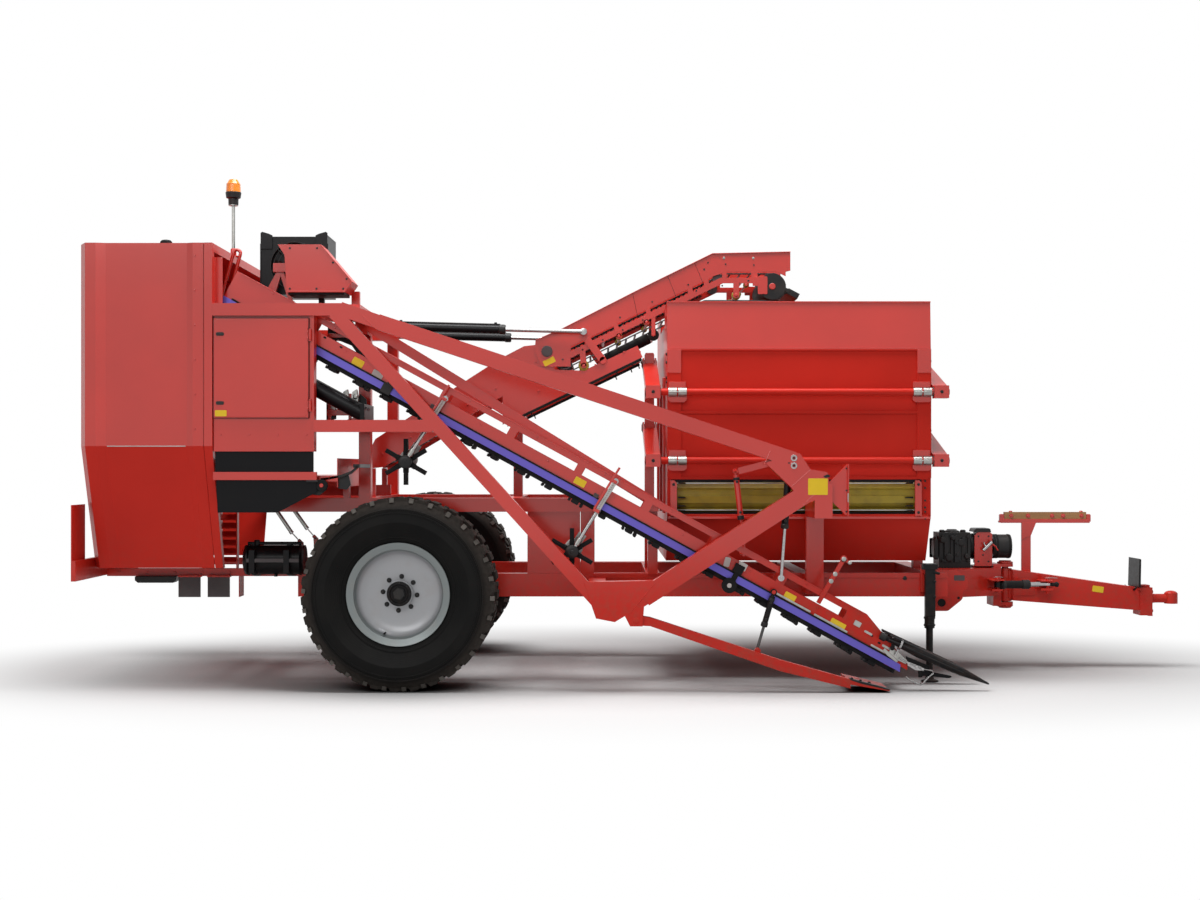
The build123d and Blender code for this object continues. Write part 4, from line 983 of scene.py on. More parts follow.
@dataclass
class Hood:
    """Folded rear hood: painted highlight along the seam, rivets, bump, pressings, and the gear
    below it.
    """

    bend: float = 1.683
    top: float = 3.068
    near: float = -1.494
    recess: float = 0.018

    def skin(self) -> None:
        """Pale strip at the bend as a painted highlight of the seam's edge, the panel's fixings,
        the top bump and the tail's pressings.
        """
        y = self.near + self.recess
        # Pale strip along the bend: painted highlight on the seam's edge.
        Form().box((-3.782, -3.246), (y - 0.0016, y + 0.002),
                   (self.bend - 0.004, self.bend + 0.002)).piece(
            "hood_seam", PALE, "chassis", bevel=0.0005)
        Form().lathe((-3.39, -1.43, self.top - 0.004), (-3.39, -1.43, self.top + 0.1),
                     [(0.0, 0.042), (0.018, 0.04), (0.028, 0.03), (0.031, 0.016)], 24).piece(
            "hood_bump", RUBBER, "chassis")
        rows = [BoltLine((-3.178, self.near, 2.98), (-3.178, self.near, 1.8), 6, OUT, 0.011)]
        rows += [BoltLine((-3.99, -1.25, z), (-3.99, 0.8, z), 9, BACK, 0.016) for z in (3.03, 1.72)]
        bolts("hood_rivets", "chassis", RED, rows)
        tail = Form()
        for y in (-0.62, 0.25):
            tail.prism(tilted((y, 2.36), (0.72, 1.1), corner=0.03), Axis.X, (-3.994, -3.988))
            tail.prism(tilted((y, 2.36), (0.64, 1.02), corner=0.02), Axis.X, (-3.997, -3.992))
        tail.piece("hood_tail_pressings", RED, "chassis", bevel=0.001)

    def flaps(self) -> None:
        """Rubber flaps, the small lamp housing and the clamps that hold them."""
        for number, x in enumerate((-3.463, -3.252)):
            Form().box((x, x + 0.16), (-0.803, -0.796), (0.601, 0.752)).piece(
                f"rear_flap_{number}", FLAP, "chassis", bevel=0.001)
            Form().box((x - 0.004, x + 0.164), (-0.808, -0.76), (0.745, 0.758)).piece(
                f"flap_clamp_{number}", RED, "chassis", bevel=0.002)
        Form().plate([(-3.774, 0.752), (-3.774, 0.722), (-3.752, 0.705), (-3.5, 0.705),
                      (-3.476, 0.724), (-3.476, 0.752)],
                     -0.82, -0.7).piece("tail_fitting", CAST, "chassis", bevel=0.004)
        rows = [BoltLine((x, -0.808, 0.7515), (x + 0.12, -0.808, 0.7515), 3, OUT, 0.01)
                for x in (-3.443, -3.232)]
        rows.append(BoltLine((-3.9, -0.76, 0.778), (-2.7, -0.76, 0.778), 7, OUT, 0.018))
        bolts("carrier_bolts", "chassis", RED, rows)

    def springs(self) -> None:
        """Two gas springs between the upper frame and a bracket on the low beam."""
        tubes, rods, ends, eyes = Form(), Form(), Form(), Form()
        y = -0.8
        for top, neck, foot in (((-2.752, 1.222), (-2.648, 1.069), (-2.589, 1.006)),
                                ((-2.652, 1.262), (-2.537, 1.1), (-2.482, 1.037))):
            a, b, c = ((p[0], y, p[1]) for p in (top, neck, foot))
            tubes.rod(a, b, 0.0145, 20, 0.002)
            rods.rod(b, c, 0.0045, 12)
            rods.rod(Vector(b).lerp(Vector(c), -0.12), Vector(b).lerp(Vector(c), 0.12), 0.0155, 16)
            ends.rod(Vector(b).lerp(Vector(c), 0.86), Vector(b).lerp(Vector(c), 1.18), 0.013, 16,
                     0.002)
            eyes.rod((foot[0] + 0.008, y - 0.014, foot[1] - 0.01),
                     (foot[0] + 0.008, y + 0.05, foot[1] - 0.01), 0.007)
            ends.plate(strip((foot[0] + 0.008, foot[1] - 0.01), (foot[0] + 0.02, 0.768), 0.036),
                       y + 0.016, y + 0.024)
        tubes.piece("gas_spring_tubes", ZINC, "chassis")
        rods.piece("gas_spring_rods", CHROME, "chassis")
        ends.piece("gas_spring_ends", RED, "chassis", bevel=0.001)
        eyes.piece("gas_spring_pins", CAST, "chassis")

    def case(self) -> None:
        """Bar, flat band, end rings and plugs of the round case behind the wheel."""
        low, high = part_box("valve_case")
        y = (low.y + high.y) / 2 - 0.03
        z = 0.875
        r = 0.105
        bar = Form().box((low.x + 0.03, high.x - 0.02), (y - r - 0.012, y - r + 0.004),
                         (z - 0.012, z + 0.016))
        bar.piece("case_band", FLAP, "chassis", bevel=0.003)
        top = Form()
        top.rod((low.x + 0.02, y, z + r + 0.014), (high.x - 0.02, y, z + r + 0.014), 0.012, 16,
                0.002)
        for x in (low.x + 0.07, high.x - 0.11):
            top.box((x - 0.018, x + 0.018), (y - 0.014, y + 0.014), (z + r - 0.006, z + r + 0.02))
            top.box((x - 0.02, x + 0.02), (y - r - 0.016, y - r + 0.02), (z - 0.09, z + 0.075))
        top.lathe((low.x + 0.085, y, z + r), (low.x + 0.085, y, z + r + 1),
                  [(0.0, 0.022), (0.034, 0.022), (0.04, 0.016)], 8)
        top.lathe((-2.74, y, z - r + 0.002), (-2.74, y, 0.0), [(0.0, 0.014), (0.016, 0.014)], 6)
        top.piece("case_fittings", BLACK, "chassis", bevel=0.002)
        rings = Form()
        for x, way in ((low.x, -1), (high.x, 1)):
            rings.lathe((x + way * 0.002, y, z), (x - way * 1, y, z),
                        [(0.0, r - 0.024), (0.01, r - 0.006), (0.024, r + 0.004),
                         (0.034, r + 0.004)], 40)
        rings.piece("case_ends", BLACK, "chassis")

    def roller(self) -> None:
        """Small roller, its bracket and the curved scraper strip beside the lower curtain."""
        x, z, y = -2.324, 1.414, -1.44
        Form().lathe((x, y - 0.016, z), (x, y + 1, z),
                     [(0.0, 0.036), (0.004, 0.041), (0.034, 0.041), (0.038, 0.036)], 32).piece(
            "curtain_roller", RUBBER, "chassis")
        Form().lathe((x, y - 0.02, z), (x, y + 1, z), [(0.0, 0.011), (0.003, 0.014), (0.05, 0.014)],
                     20).piece(
            "roller_pin", RED, "chassis")
        bracket = Form().plate([(x - 0.1, 1.36), (x - 0.07, 1.442), (x + 0.02, 1.44),
                                (x + 0.028, 1.38), (x - 0.02, 1.345)],
                               y + 0.01, y + 0.018)
        bracket.box((x - 0.1, x - 0.02), (-1.472, y + 0.018), (1.436, 1.452))
        bracket.piece("roller_bracket", CAST, "chassis", bevel=0.002)
        path = [(-2.34, 1.455), (-2.28, 1.462), (-2.2, 1.477), (-2.13, 1.503), (-2.085, 1.545)]
        curve = Form()
        for a, b in zip(path, path[1:]):
            curve.plate([(a[0], a[1] - 0.009), (b[0], b[1] - 0.009), (b[0], b[1] + 0.009),
                         (a[0], a[1] + 0.009)], -1.4, -1.34)
        curve.plate([(-2.23, 1.475), (-2.15, 1.49), (-2.135, 1.42), (-2.16, 1.385),
                     (-2.222, 1.392)], -1.375, -1.365)
        curve.box((-2.115, -2.07), (-1.4, -0.83), (1.535, 1.56))
        curve.piece("scraper_strip", CAST, "chassis", bevel=0.001)

    def dress(self) -> None:
        """Builds the hood's pieces."""
        self.skin()
        self.flaps()
        self.springs()
        self.case()
        self.roller()


@dataclass
class Door:
    """Cabinet door: painted shadow in the gap round it, latches, hinge screws and pressing."""

    gap: float = 0.004
    latch: Flat = (0.056, 0.024)
    right: float = -2.406
    face: float = -1.49
    edge: float = -1.472

    def dress(self) -> None:
        """Builds the door's pieces."""
        low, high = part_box("cabinet_door")
        cab_low, cab_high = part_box("cabinet")
        face, edge, right = self.face, self.edge, self.right
        # Black strips sunk in the gap round the door: painted shadow of the gap.
        seam = Form()
        for x, z in (((low.x - self.gap, low.x - 0.0005), (low.z - self.gap, high.z + self.gap)),
                     ((right + 0.001, right + self.gap), (low.z - self.gap, high.z + self.gap)),
                     ((low.x, right), (low.z - self.gap, low.z - 0.0005)),
                     ((low.x, right), (high.z + 0.0005, high.z + self.gap))):
            seam.box(x, (edge - 0.016, edge + 0.002), z)
        seam.piece("door_seal", RUBBER, "chassis")
        middle = ((low.x + right) / 2, (low.z + high.z) / 2)
        size = (right - low.x, high.z - low.z)
        Form().plate(tilted(middle, (size[0] - 0.01, size[1] - 0.01), corner=0.032), face - 0.0022,
                     face + 0.002).piece(
            "door_skin", RED, "door", bevel=0.0012)
        for number, z in enumerate((2.446, 1.976)):
            form = Form().plate(tilted((low.x + 0.044, z), self.latch, 0.0, 0.0115), face - 0.007,
                                face)
            form.lathe((low.x + 0.044, face - 0.0085, z), (low.x + 0.044, face, z),
                       [(0.0, 0.006), (0.004, 0.008)], 16)
            form.piece(f"door_latch_{number}", CAST, "door", bevel=0.0012)
        screws = [BoltLine((right - 0.006, face - 0.002, z - 0.02),
                           (right - 0.006, face - 0.002, z + 0.02), 2, OUT, 0.009)
                  for z in (1.96, 2.44)]
        bolts("hinge_screws", "door", RED, screws)
        bolts("cabinet_screws", "chassis", RED,
              [BoltLine((cab_low.x + 0.05, edge, 1.76), (cab_high.x - 0.05, edge, 1.76), 4, OUT,
                        0.01)])


@dataclass
class TopGear:
    """Beacon fittings, grab bow, cooler core and fan, and the drive housing's fixings."""

    pole: Flat = (-3.088, -0.7)
    fan: Flat = (-2.602, 2.977)
    fan_radius: float = 0.16
    blades: int = 9

    def beacon(self) -> None:
        """Black lamp base with its amber band, and the pole's foot with its bolts."""
        x, y = self.pole
        low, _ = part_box("beacon_lens")
        Form().lathe((x, y, low.z - 0.094), (x, y, low.z + 1),
                     [(0.0, 0.02), (0.006, 0.036), (0.05, 0.037), (0.058, 0.052),
                                                                (0.088, 0.056), (0.094, 0.057),
                                                                (0.099, 0.055)], 36).piece(
            "beacon_base", CAST, "chassis")
        ring = Form().lathe((x, y, low.z + 0.06), (x, y, low.z + 1),
                            [(0.0, 0.0505), (0.003, 0.0515), (0.006, 0.05)], 36)
        ring.piece("beacon_band", AMBER, "chassis")
        foot = Form().lathe((x, y, 3.066), (x, y, 4.0),
                            [(0.0, 0.04), (0.01, 0.04), (0.014, 0.022), (0.06, 0.02),
                             (0.064, 0.014)], 24)
        foot.piece("beacon_foot", RED, "chassis")
        bolts("beacon_bolts", "chassis", ZINC,
              [BoltLine((x - 0.012, y - 0.03, 3.076), (x - 0.012, y + 0.03, 3.076), 2, UP, 0.01)])

    def bow(self) -> None:
        """Slotted grab bow with its foot, and the bracket beside it."""
        y = -1.1
        start, end = Vector((-3.092, y, 2.64)), Vector((-2.975, y, 3.045))
        along = (end - start).normalized()
        side = Vector((along.z, 0.0, -along.x)) * 0.024
        path = [start - side, end - side]
        for i in range(1, 6):
            turn = math.radians(180 - 30 * i)
            path.append(end + side * math.cos(turn) + along * 0.024 * math.sin(turn))
        path += [end + side, start + side * 1.1 + along * 0.1, start + side]
        Form().sweep(path, 0.012, 12).piece("grab_bow", RED, "chassis")
        Form().plate([(-3.12, 2.64), (-3.055, 2.64), (-3.05, 2.7), (-3.108, 2.712)], y - 0.012,
                     y + 0.012).piece(
            "bow_foot", RED, "chassis", bevel=0.003)
        bracket = Form().plate([(-3.062, 2.656), (-3.01, 2.656), (-3.01, 2.979), (-3.062, 2.979)],
                               -1.405, -1.399)
        bracket.plate([(-3.062, 2.656), (-3.056, 2.656), (-3.056, 2.979), (-3.062, 2.979)], -1.44,
                      -1.399)
        bracket.piece("gate_bracket", RED, "chassis", bevel=0.001)

    def cooler(self) -> None:
        """Core fins, frame corners, grille rings and the fan in its ring."""
        low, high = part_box("cooler")
        face = -0.94
        fins = Form()
        count = 30
        for i in range(count):
            x = low.x + 0.075 + (high.x - low.x - 0.15) * i / (count - 1)
            fins.box((x - 0.0022, x + 0.0022), (face + 0.06, high.y - 0.04),
                     (high.z - 0.01, high.z + 0.006))
        fins.piece("cooler_fins", CAST, "chassis")
        ears = Form()
        for x, way in ((low.x, 1), (high.x, -1)):
            ears.plate([(x, high.z - 0.09), (x + way * 0.085, high.z - 0.09),
                        (x + way * 0.085, high.z + 0.008),
                        (x + way * 0.06, high.z + 0.02), (x + way * 0.012, high.z + 0.034),
                        (x, high.z + 0.026)],
                       face - 0.01, face + 0.002)
            ears.box((x + min(0, way * 0.03), x + max(0, way * 0.03)), (face - 0.008, high.y),
                     (high.z - 0.003, high.z + 0.012))
            ears.box((x - 0.004, x + 0.004), (face - 0.006, face + 0.05), (2.8, high.z - 0.05))
        ears.piece("cooler_ears", BLACK, "chassis", bevel=0.002)
        x, z = self.fan
        fan = Form()
        fan.lathe((x, face + 0.02, z), (x, face + 1, z),
                  [(0.0, 0.03), (0.004, 0.04), (0.026, 0.042)], 28)
        for i in range(self.blades):
            root, tip = (math.radians(360 / self.blades * i + shift) for shift in (0, 12))
            corners = []
            for radius, way, wide in ((0.038, root, 0.2), (self.fan_radius - 0.006, tip, 0.16)):
                for sign in (-1, 1):
                    at = way + sign * wide
                    for thick in (0.0, 0.003):
                        corners.append((x + radius * math.cos(at),
                                face + 0.026 + sign * 0.009 + thick, z + radius * math.sin(at)))
            fan.hull(corners)
        fan.piece("cooler_fan", CAST, "chassis")
        grille = Form()
        for radius in (0.055, 0.085, 0.115, 0.145, 0.168):
            grille.lathe((x, face - 0.004, z), (x, face + 1, z),
                         [(0.0, radius - 0.002), (0.0, radius + 0.002), (0.004, radius + 0.002),
                          (0.004, radius - 0.002)], 48, True)
        for i in range(6):
            way = math.radians(60 * i + 15)
            a, b = around(self.fan, 0.04, way), around(self.fan, 0.172, way)
            grille.rod((a[0], face - 0.001, a[1]), (b[0], face - 0.001, b[1]), 0.0022, 8)
        grille.piece("fan_grille", CAST, "chassis")

    def housing(self) -> None:
        """Fixings, folded skirt and the rim strip of the drive housing."""
        low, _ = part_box("top_housing")
        face = low.y
        bolts("housing_bolts", "chassis", CAST, [
            BoltLine((-2.56, face, 3.05), (-2.372, face, 3.05), 2, OUT, 0.01),
            BoltLine((-2.262, face, 2.95), (-2.168, face, 2.838), 2, OUT, 0.01),
            BoltLine((-2.192, face, 2.77), (-2.56, face, 2.77), 3, OUT, 0.01)])
        skirt = Form()
        skirt.plate([(-2.345, 3.076), (-2.128, 2.82), (-2.176, 2.75), (-2.183, 2.757),
                     (-2.1375, 2.8215), (-2.35, 3.0725)], face - 0.006, face)
        skirt.box((-2.583, -2.176), (face - 0.006, face), (2.745, 2.756))
        skirt.piece("housing_rim", RED, "chassis", bevel=0.001)
        dark = Form().box((-2.574, -2.185), (face + 0.01, face + 0.26), (2.73, 2.752))
        dark.piece("housing_belt", RUBBER, "chassis")
        pale = Form()
        for x in (-2.75, -2.69, -2.62):
            pale.lathe((x, -1.0, 2.7), (x, 0.0, 2.7), [(0.0, 0.02), (0.004, 0.023), (0.05, 0.023)],
                       20)
        pale.box((-2.77, -2.6), (-0.955, -0.935), (2.656, 2.725))
        pale.piece("hose_blocks", ZINC, "chassis", bevel=0.001)

    def dress(self) -> None:
        """Builds the top gear's pieces."""
        self.beacon()
        self.bow()
        self.cooler()
        self.housing()


@dataclass
class LiftingUnit:
    """Slanting unit: plates, belt cleats, star fittings, hangers, crop lifters and nose."""

    nose: Flat = (1.693, 0.121)
    angle: float = UNIT_ANGLE
    sides: Flat = UNIT_SIDES
    star_y: float = -1.3
    stars: dict[str, Flat] = field(
        default_factory=lambda: {"upper": (-1.763, 1.576), "lower": (-0.614, 0.956)})
    hangers: dict[str, Flat] = field(
        default_factory=lambda: {"upper": (-1.486, 2.01), "lower": (-0.312, 1.442)})

    def at(self, along: float, across: float = 0.0) -> Flat:
        """(x, z) of a place on the unit: up from its nose, and square to that."""
        a = math.radians(self.angle)
        return (self.nose[0] - along * math.cos(a) + across * math.sin(a),
                self.nose[1] + along * math.sin(a) + across * math.cos(a))

    def tile(self, along: float, across: float, size: Flat, corner: float = 0.0) -> list[Flat]:
        """Outline of a plate that lies along the unit."""
        return tilted(self.at(along, across), size, -self.angle, corner)

    def plates(self) -> None:
        """Bolts, stiffening edges, seal, dark patches as painted shade for holes, clips and wear
        strips of the side plates.
        """
        rows = []
        near = self.sides[0]
        for along in (0.75, 1.28, 1.81, 2.34, 2.87, 3.4, 3.93, 4.46, 4.95):
            x, z = self.at(along, 0.098)
            rows.append(single((x, near, z), OUT, 0.012))
            x, z = self.at(along + 0.14, 0.203)
            rows.append(single((x, near, z), OUT, 0.01))
        bolts("unit_bolts", "lifting_unit", RED, rows)
        edge, dark = Form(), Form()
        for y in (self.sides[0] - 0.004, self.sides[1] - 0.002):
            edge.plate(self.tile(2.9, 0.221, (4.9, 0.008)), y - 0.004, y + 0.01)
        dark.plate(self.tile(2.72, 0.036, (5.2, 0.012)), near - 0.0105, near + 0.002)
        edge.piece("unit_edges", RED, "lifting_unit", bevel=0.001)
        dark.piece("guard_seal", RUBBER, "lifting_unit")
        # Dark rounded patches flush with the plate: painted shade standing in for holes.
        holes = Form()
        for along, across in ((4.63, 0.11), (4.5, 0.105), (4.36, 0.07), (4.08, 0.06), (0.33, 0.11),
                              (0.26, 0.09)):
            holes.plate(self.tile(along, across, (0.022, 0.013), 0.006), near - 0.0006,
                        near + 0.002)
        holes.piece("unit_holes", RUBBER, "lifting_unit")
        blocks = Form()
        for along, across, size in ((3.742, 0.045, (0.046, 0.036)), (2.465, 0.048, (0.034, 0.028))):
            blocks.plate(self.tile(along, across, size, 0.004), near - 0.012, near)
        blocks.piece("unit_clips", FLAP, "lifting_unit", bevel=0.002)
        wears = Form()
        for along, across, long in ((0.93, 0.052, 0.3), (0.62, 0.05, 0.26), (0.24, 0.052, 0.13)):
            wears.plate(self.tile(along, across, (long, 0.014), 0.004), near - 0.0075, near)
        for along, across in ((0.36, 0.115), (0.205, 0.088)):
            wears.plate(self.tile(along, across, (0.062, 0.016), 0.007), near - 0.003, near)
        wears.plate(self.tile(0.455, 0.135, (0.05, 0.036), 0.004), near - 0.003, near)
        wears.piece("wear_strips", ZINC, "lifting_unit", bevel=0.001)

    def cleats(self) -> None:
        """Grip cleats and joint links under the belts."""
        for number, y in enumerate((-1.254, -1.146)):
            form = Form()
            for step in range(23):
                along = 0.24 + step * 0.212
                form.plate(self.tile(along, -0.06, (0.056, 0.028), 0.01), y - 0.074, y - 0.02)
                form.plate(self.tile(along + 0.044, -0.062, (0.018, 0.022), 0.005), y - 0.07,
                           y + 0.01)
                if step % 2:
                    form.plate(self.tile(along - 0.05, -0.064, (0.022, 0.03), 0.008), y - 0.07,
                               y + 0.01)
            form.piece(f"belt_cleats_{number}", RUBBER, "lifting_unit")

    def guard_clamp(self) -> None:
        """Black clamp over the upper guard."""
        near = self.sides[0]
        clamp = Form().plate(self.tile(4.085, 0.004, (0.072, 0.072), 0.004), near - 0.02,
                             near - 0.004)
        clamp.plate(self.tile(4.085, 0.05, (0.03, 0.04), 0.004), near - 0.018, near)
        clamp.piece("guard_clamp", CAST, "lifting_unit", bevel=0.002)

    def tensioner(self) -> None:
        """Small guide roller under the belts, its arm and the clamp blocks on the side plate."""
        near = self.sides[0]
        x, z = 0.471, 0.723
        wheel = Form().stud((x, near - 0.03, z),
                            [(0.0, 0.044), (0.004, 0.053), (0.03, 0.053), (0.034, 0.044)], 36)
        wheel.plate(strip((x + 0.01, z + 0.012), (0.536, 0.828), 0.036), near - 0.024, near - 0.012)
        wheel.plate(tilted((0.536, 0.836), (0.07, 0.064), -self.angle, 0.004), near - 0.034,
                    near - 0.002)
        wheel.piece("guide_roller", RUBBER, "lifting_unit", bevel=0.001)
        Form().stud((x, near - 0.034, z), [(0.0, 0.012), (0.003, 0.016), (0.01, 0.016)], 24).piece(
            "guide_roller_hub", PALE, "lifting_unit")
        block = Form().plate(tilted((0.562, 0.856), (0.062, 0.05), -self.angle, 0.004),
                             near - 0.028, near)
        block.plate(tilted((0.458, 0.884), (0.042, 0.066), -16.0, 0.01), near - 0.006, near)
        block.piece("guide_clamp", PALE, "lifting_unit", bevel=0.002)

    def star_fittings(self) -> None:
        """Fittings of both star rotors and their hangers."""
        for name, (x, z) in self.stars.items():
            tx, tz = self.hangers[name]
            reach = Vector((tx - x, 0.0, tz - z))
            self.star_wheel(name, reach.normalized())
            self.star_hanger(name, reach.length, reach.normalized())

    def star_wheel(self, name: str, run: Vector) -> None:
        """Hub face, cover, ribs and pale housing of one star rotor.

        Args:
            name: which rotor.
            run: direction of its hanger, upwards.
        """
        x, z = self.stars[name]
        cap = Form().lathe((x, self.star_y - 0.036, z), (x, 1.0, z),
                           [(0.0, 0.034), (0.001, 0.044), (0.003, 0.046), (0.01, 0.046)], 32)
        for i in range(6):
            px, pz = around((x, z), 0.038, math.radians(60 * i + 12))
            cap.lathe((px, self.star_y - 0.0372, pz), (px, 1.0, pz), [(0.0, 0.004), (0.006, 0.004)],
                      6)
        cap.piece(f"star_cap_{name}", RUBBER, f"star_rotor_{name}")
        cover = Form().lathe((x, self.sides[0] - 0.046, z), (x, 1.0, z),
                             [(0.0, 0.02), (0.004, 0.038), (0.01, 0.046), (0.026, 0.046)], 32)
        cover.lathe((x, self.sides[0] - 0.049, z), (x, 1.0, z), [(0.0, 0.01), (0.004, 0.013)], 6)
        cover.piece(f"star_cover_{name}", CAST, "lifting_unit")
        tips = Form()
        for i in range(6):
            hub, root, neck, tip = (clock((x, z), r, 60 * i) for r in (0.04, 0.052, 0.075, 0.15))
            tips.plate(strip(root, tip, 0.012), self.star_y - 0.0245, self.star_y - 0.018)
            tips.plate(strip(hub, neck, 0.036), self.star_y - 0.022, self.star_y + 0.022)
        tips.piece(f"star_ribs_{name}", RUBBER, f"star_rotor_{name}", bevel=0.001)
        back = Form().lathe((x + 0.012, self.star_y + 0.04, z + 0.022), (x + 0.012, 1.0, z + 0.022),
                            [(0.0, 0.05), (0.006, 0.062), (0.034, 0.064), (0.04, 0.05)], 36)
        back.plate(strip((x + 0.012, z + 0.022), (x + run.x * 0.14, z + run.z * 0.14), 0.06),
                   self.star_y + 0.044, self.star_y + 0.056)
        back.piece(f"star_housing_{name}", PALE, "lifting_unit", bevel=0.001)

    def star_hanger(self, name: str, reach: float, run: Vector) -> None:
        """Rod sleeves, scale with its marks, and the link beside it.

        Args:
            name: which rotor.
            reach: length of the hanger.
            run: its direction, upwards.
        """
        x, z = self.stars[name]
        sleeve, scale, red = Form(), Form(), Form()
        y = self.sides[0] - 0.022
        clamp_at = 0.55 if name == "lower" else 0.62
        for share, radius, long in ((0.1, 0.021, 0.05), (clamp_at, 0.024, 0.035)):
            a = Vector((x, y, z)) + run * reach * share
            sleeve.rod(a, a + run * long, radius, 20, 0.002)
        sleeve.piece(f"hanger_sleeves_{name}", ZINC, "lifting_unit")
        foot, head = reach * (clamp_at + 0.03), reach * 0.99
        side = Vector((-run.z, 0.0, run.x)) * 0.026
        a, b = Vector((x, y, z)) + run * foot, Vector((x, y, z)) + run * head
        scale.plate(strip((a.x, a.z), (b.x, b.z), 0.03), y - 0.024, y - 0.018)
        for k in range(14):
            c = a.lerp(b, (k + 1) / 15)
            wide = 0.018 if k % 5 == 0 else 0.011
            red.plate(strip((c.x - wide / 2, c.z), (c.x + wide / 2, c.z + 0.004), 0.0022),
                      y - 0.0248, y - 0.023)
        scale.piece(f"scale_{name}", PALE, "lifting_unit", bevel=0.001)
        red.piece(f"scale_marks_{name}", RUBBER, "lifting_unit")
        link = Form().plate(strip((a.x + side.x, a.z + side.z),
                                  (b.x + side.x + run.x * 0.1, b.z + side.z + run.z * 0.1), 0.016),
                                  y - 0.03, y - 0.014)
        link.plate(strip((a.x + side.x - run.x * 0.01, a.z + side.z),
                         (a.x - side.x * 0.6, a.z - side.z * 0.6), 0.022), y - 0.032, y + 0.02)
        link.plate(strip((b.x + side.x, b.z + side.z), (b.x - side.x * 0.5, b.z - side.z * 0.5),
                         0.022), y - 0.032, y + 0.02)
        link.piece(f"scale_link_{name}", RED, "lifting_unit", bevel=0.002)

    def crank(self) -> None:
        """Slotted lever with two clamp nuts that sets the lower end."""
        y = self.sides[0] - 0.012
        foot, head = (1.085, 0.6), (1.262, 0.905)
        lever = Form().plate(strip(foot, head, 0.03), y - 0.004, y + 0.012)
        lever.plate(circle(head, 0.024), y - 0.004, y + 0.012)
        lever.plate(strip((1.262, 0.905), (1.3, 0.88), 0.02), y - 0.004, y + 0.004)
        lever.piece("set_lever", RED, "lifting_unit", bevel=0.002)
        nuts = Form()
        for share in (0.5, 0.66, 1.0):
            x, z = (foot[0] + (head[0] - foot[0]) * share, foot[1] + (head[1] - foot[1]) * share)
            nuts.lathe((x, y - 0.01, z), (x, 1.0, z), [(0.0, 0.009), (0.004, 0.016), (0.01, 0.017)],
                       16)
        nuts.lathe((1.302, y - 0.012, 0.88), (1.302, 1.0, 0.88),
                   [(0.0, 0.009), (0.004, 0.014), (0.014, 0.015)], 16)
        nuts.piece("lever_nuts", ZINC, "lifting_unit")

    def torpedo(self) -> None:
        """Ribs, band, end plug and tip of the crop lifters, and the fingers at the nose."""
        tail, tip = Vector((1.507, 0.0, 0.382)), Vector((2.252, 0.0, 0.049))
        along = (tip - tail).normalized()
        up = Vector((-along.z, 0.0, along.x))
        if up.z < 0:
            up = -up
        for number, y in enumerate((self.sides[0] - 0.048, self.sides[1] + 0.048)):
            base = Vector((0.0, y, 0.0))
            ribs = Form()
            for lift, side in ((0.028, -0.022), (0.0, -0.034), (0.034, 0.0)):
                a = tail + base + along * 0.06 + up * lift + Vector((0.0, side, 0.0))
                b = tail + base + along * 0.62 + up * (lift * 0.72) + Vector((0.0, side * 0.7, 0.0))
                ribs.rod(a, b, 0.006, 8)
            plug = tail + base - along * 0.004
            ribs.lathe(plug, plug + along,
                       [(0.0, 0.012), (0.004, 0.026), (0.04, 0.03), (0.05, 0.022)], 24)
            ribs.hull([tip + base + along * d + up * u + Vector((0.0, s, 0.0))
                       for d, u, s in ((-0.1, 0.012, 0.014), (-0.1, 0.012, -0.014),
                               (-0.1, -0.012, 0.012), (-0.1, -0.012, -0.012),
                                       (0.0, 0.003, 0.016), (0.0, 0.003, -0.016),
                                       (0.0, -0.004, 0.016), (0.0, -0.004, -0.016))])
            ribs.piece(f"torpedo_ribs_{number}", CAST, "lifting_unit", bevel=0.001)
            band = Form()
            centre = tail + base + along * 0.145
            band.lathe(centre, centre + along,
                       [(0.0, 0.034), (0.0, 0.0375), (0.014, 0.0385), (0.014, 0.034)], 32, True)
            band.rod(centre + along * 0.007 - up * 0.03, centre + along * 0.007 - up * 0.085, 0.006,
                     12)
            band.piece(f"torpedo_band_{number}", CHROME, "lifting_unit")
        y = self.sides[0]
        cast = Form()
        cast.plate([(1.585, 0.3), (1.64, 0.262), (1.7, 0.205), (1.69, 0.18), (1.63, 0.208),
                    (1.572, 0.262)], y - 0.02, y - 0.008)
        cast.plate([(1.545, 0.292), (1.575, 0.262), (1.64, 0.205), (1.625, 0.19), (1.56, 0.24),
                    (1.53, 0.275)], y - 0.016, y + 0.002)
        cast.piece("nose_castings", ZINC, "lifting_unit", bevel=0.003)
        fingers = Form()
        for lift in (0.0, 0.018):
            side = y - 0.03 + lift
            fingers.sweep([(1.64, side, 0.225), (1.7, side, 0.19), (1.762, side, 0.165),
                           (1.8, side, 0.15), (1.868, side, 0.137),
                           (1.876, side, 0.118), (1.845, side, 0.095), (1.805, side, 0.05),
                           (1.785, side, 0.04), (1.745, side, 0.056),
                           (1.7, side, 0.082), (1.692, side, 0.094)], 0.0055, 10)
        for x, z in ((1.705, 0.188), (1.76, 0.164), (1.802, 0.148)):
            fingers.rod((x, y - 0.036, z), (x, y + 0.004, z), 0.01, 12, 0.001)
        fingers.hull([(x, s, z) for s in (y - 0.026, y - 0.014) for x,
                      z in ((1.69, 0.204), (1.8, 0.16), (1.812, 0.135), (1.752, 0.14),
                            (1.7, 0.172))])
        fingers.piece("nose_fingers", CHROME, "lifting_unit", bevel=0.001)
        pads = Form()
        pads.plate([(1.775, 0.16), (1.8, 0.16), (1.806, 0.09), (1.778, 0.088)], y - 0.012,
                   y + 0.004)
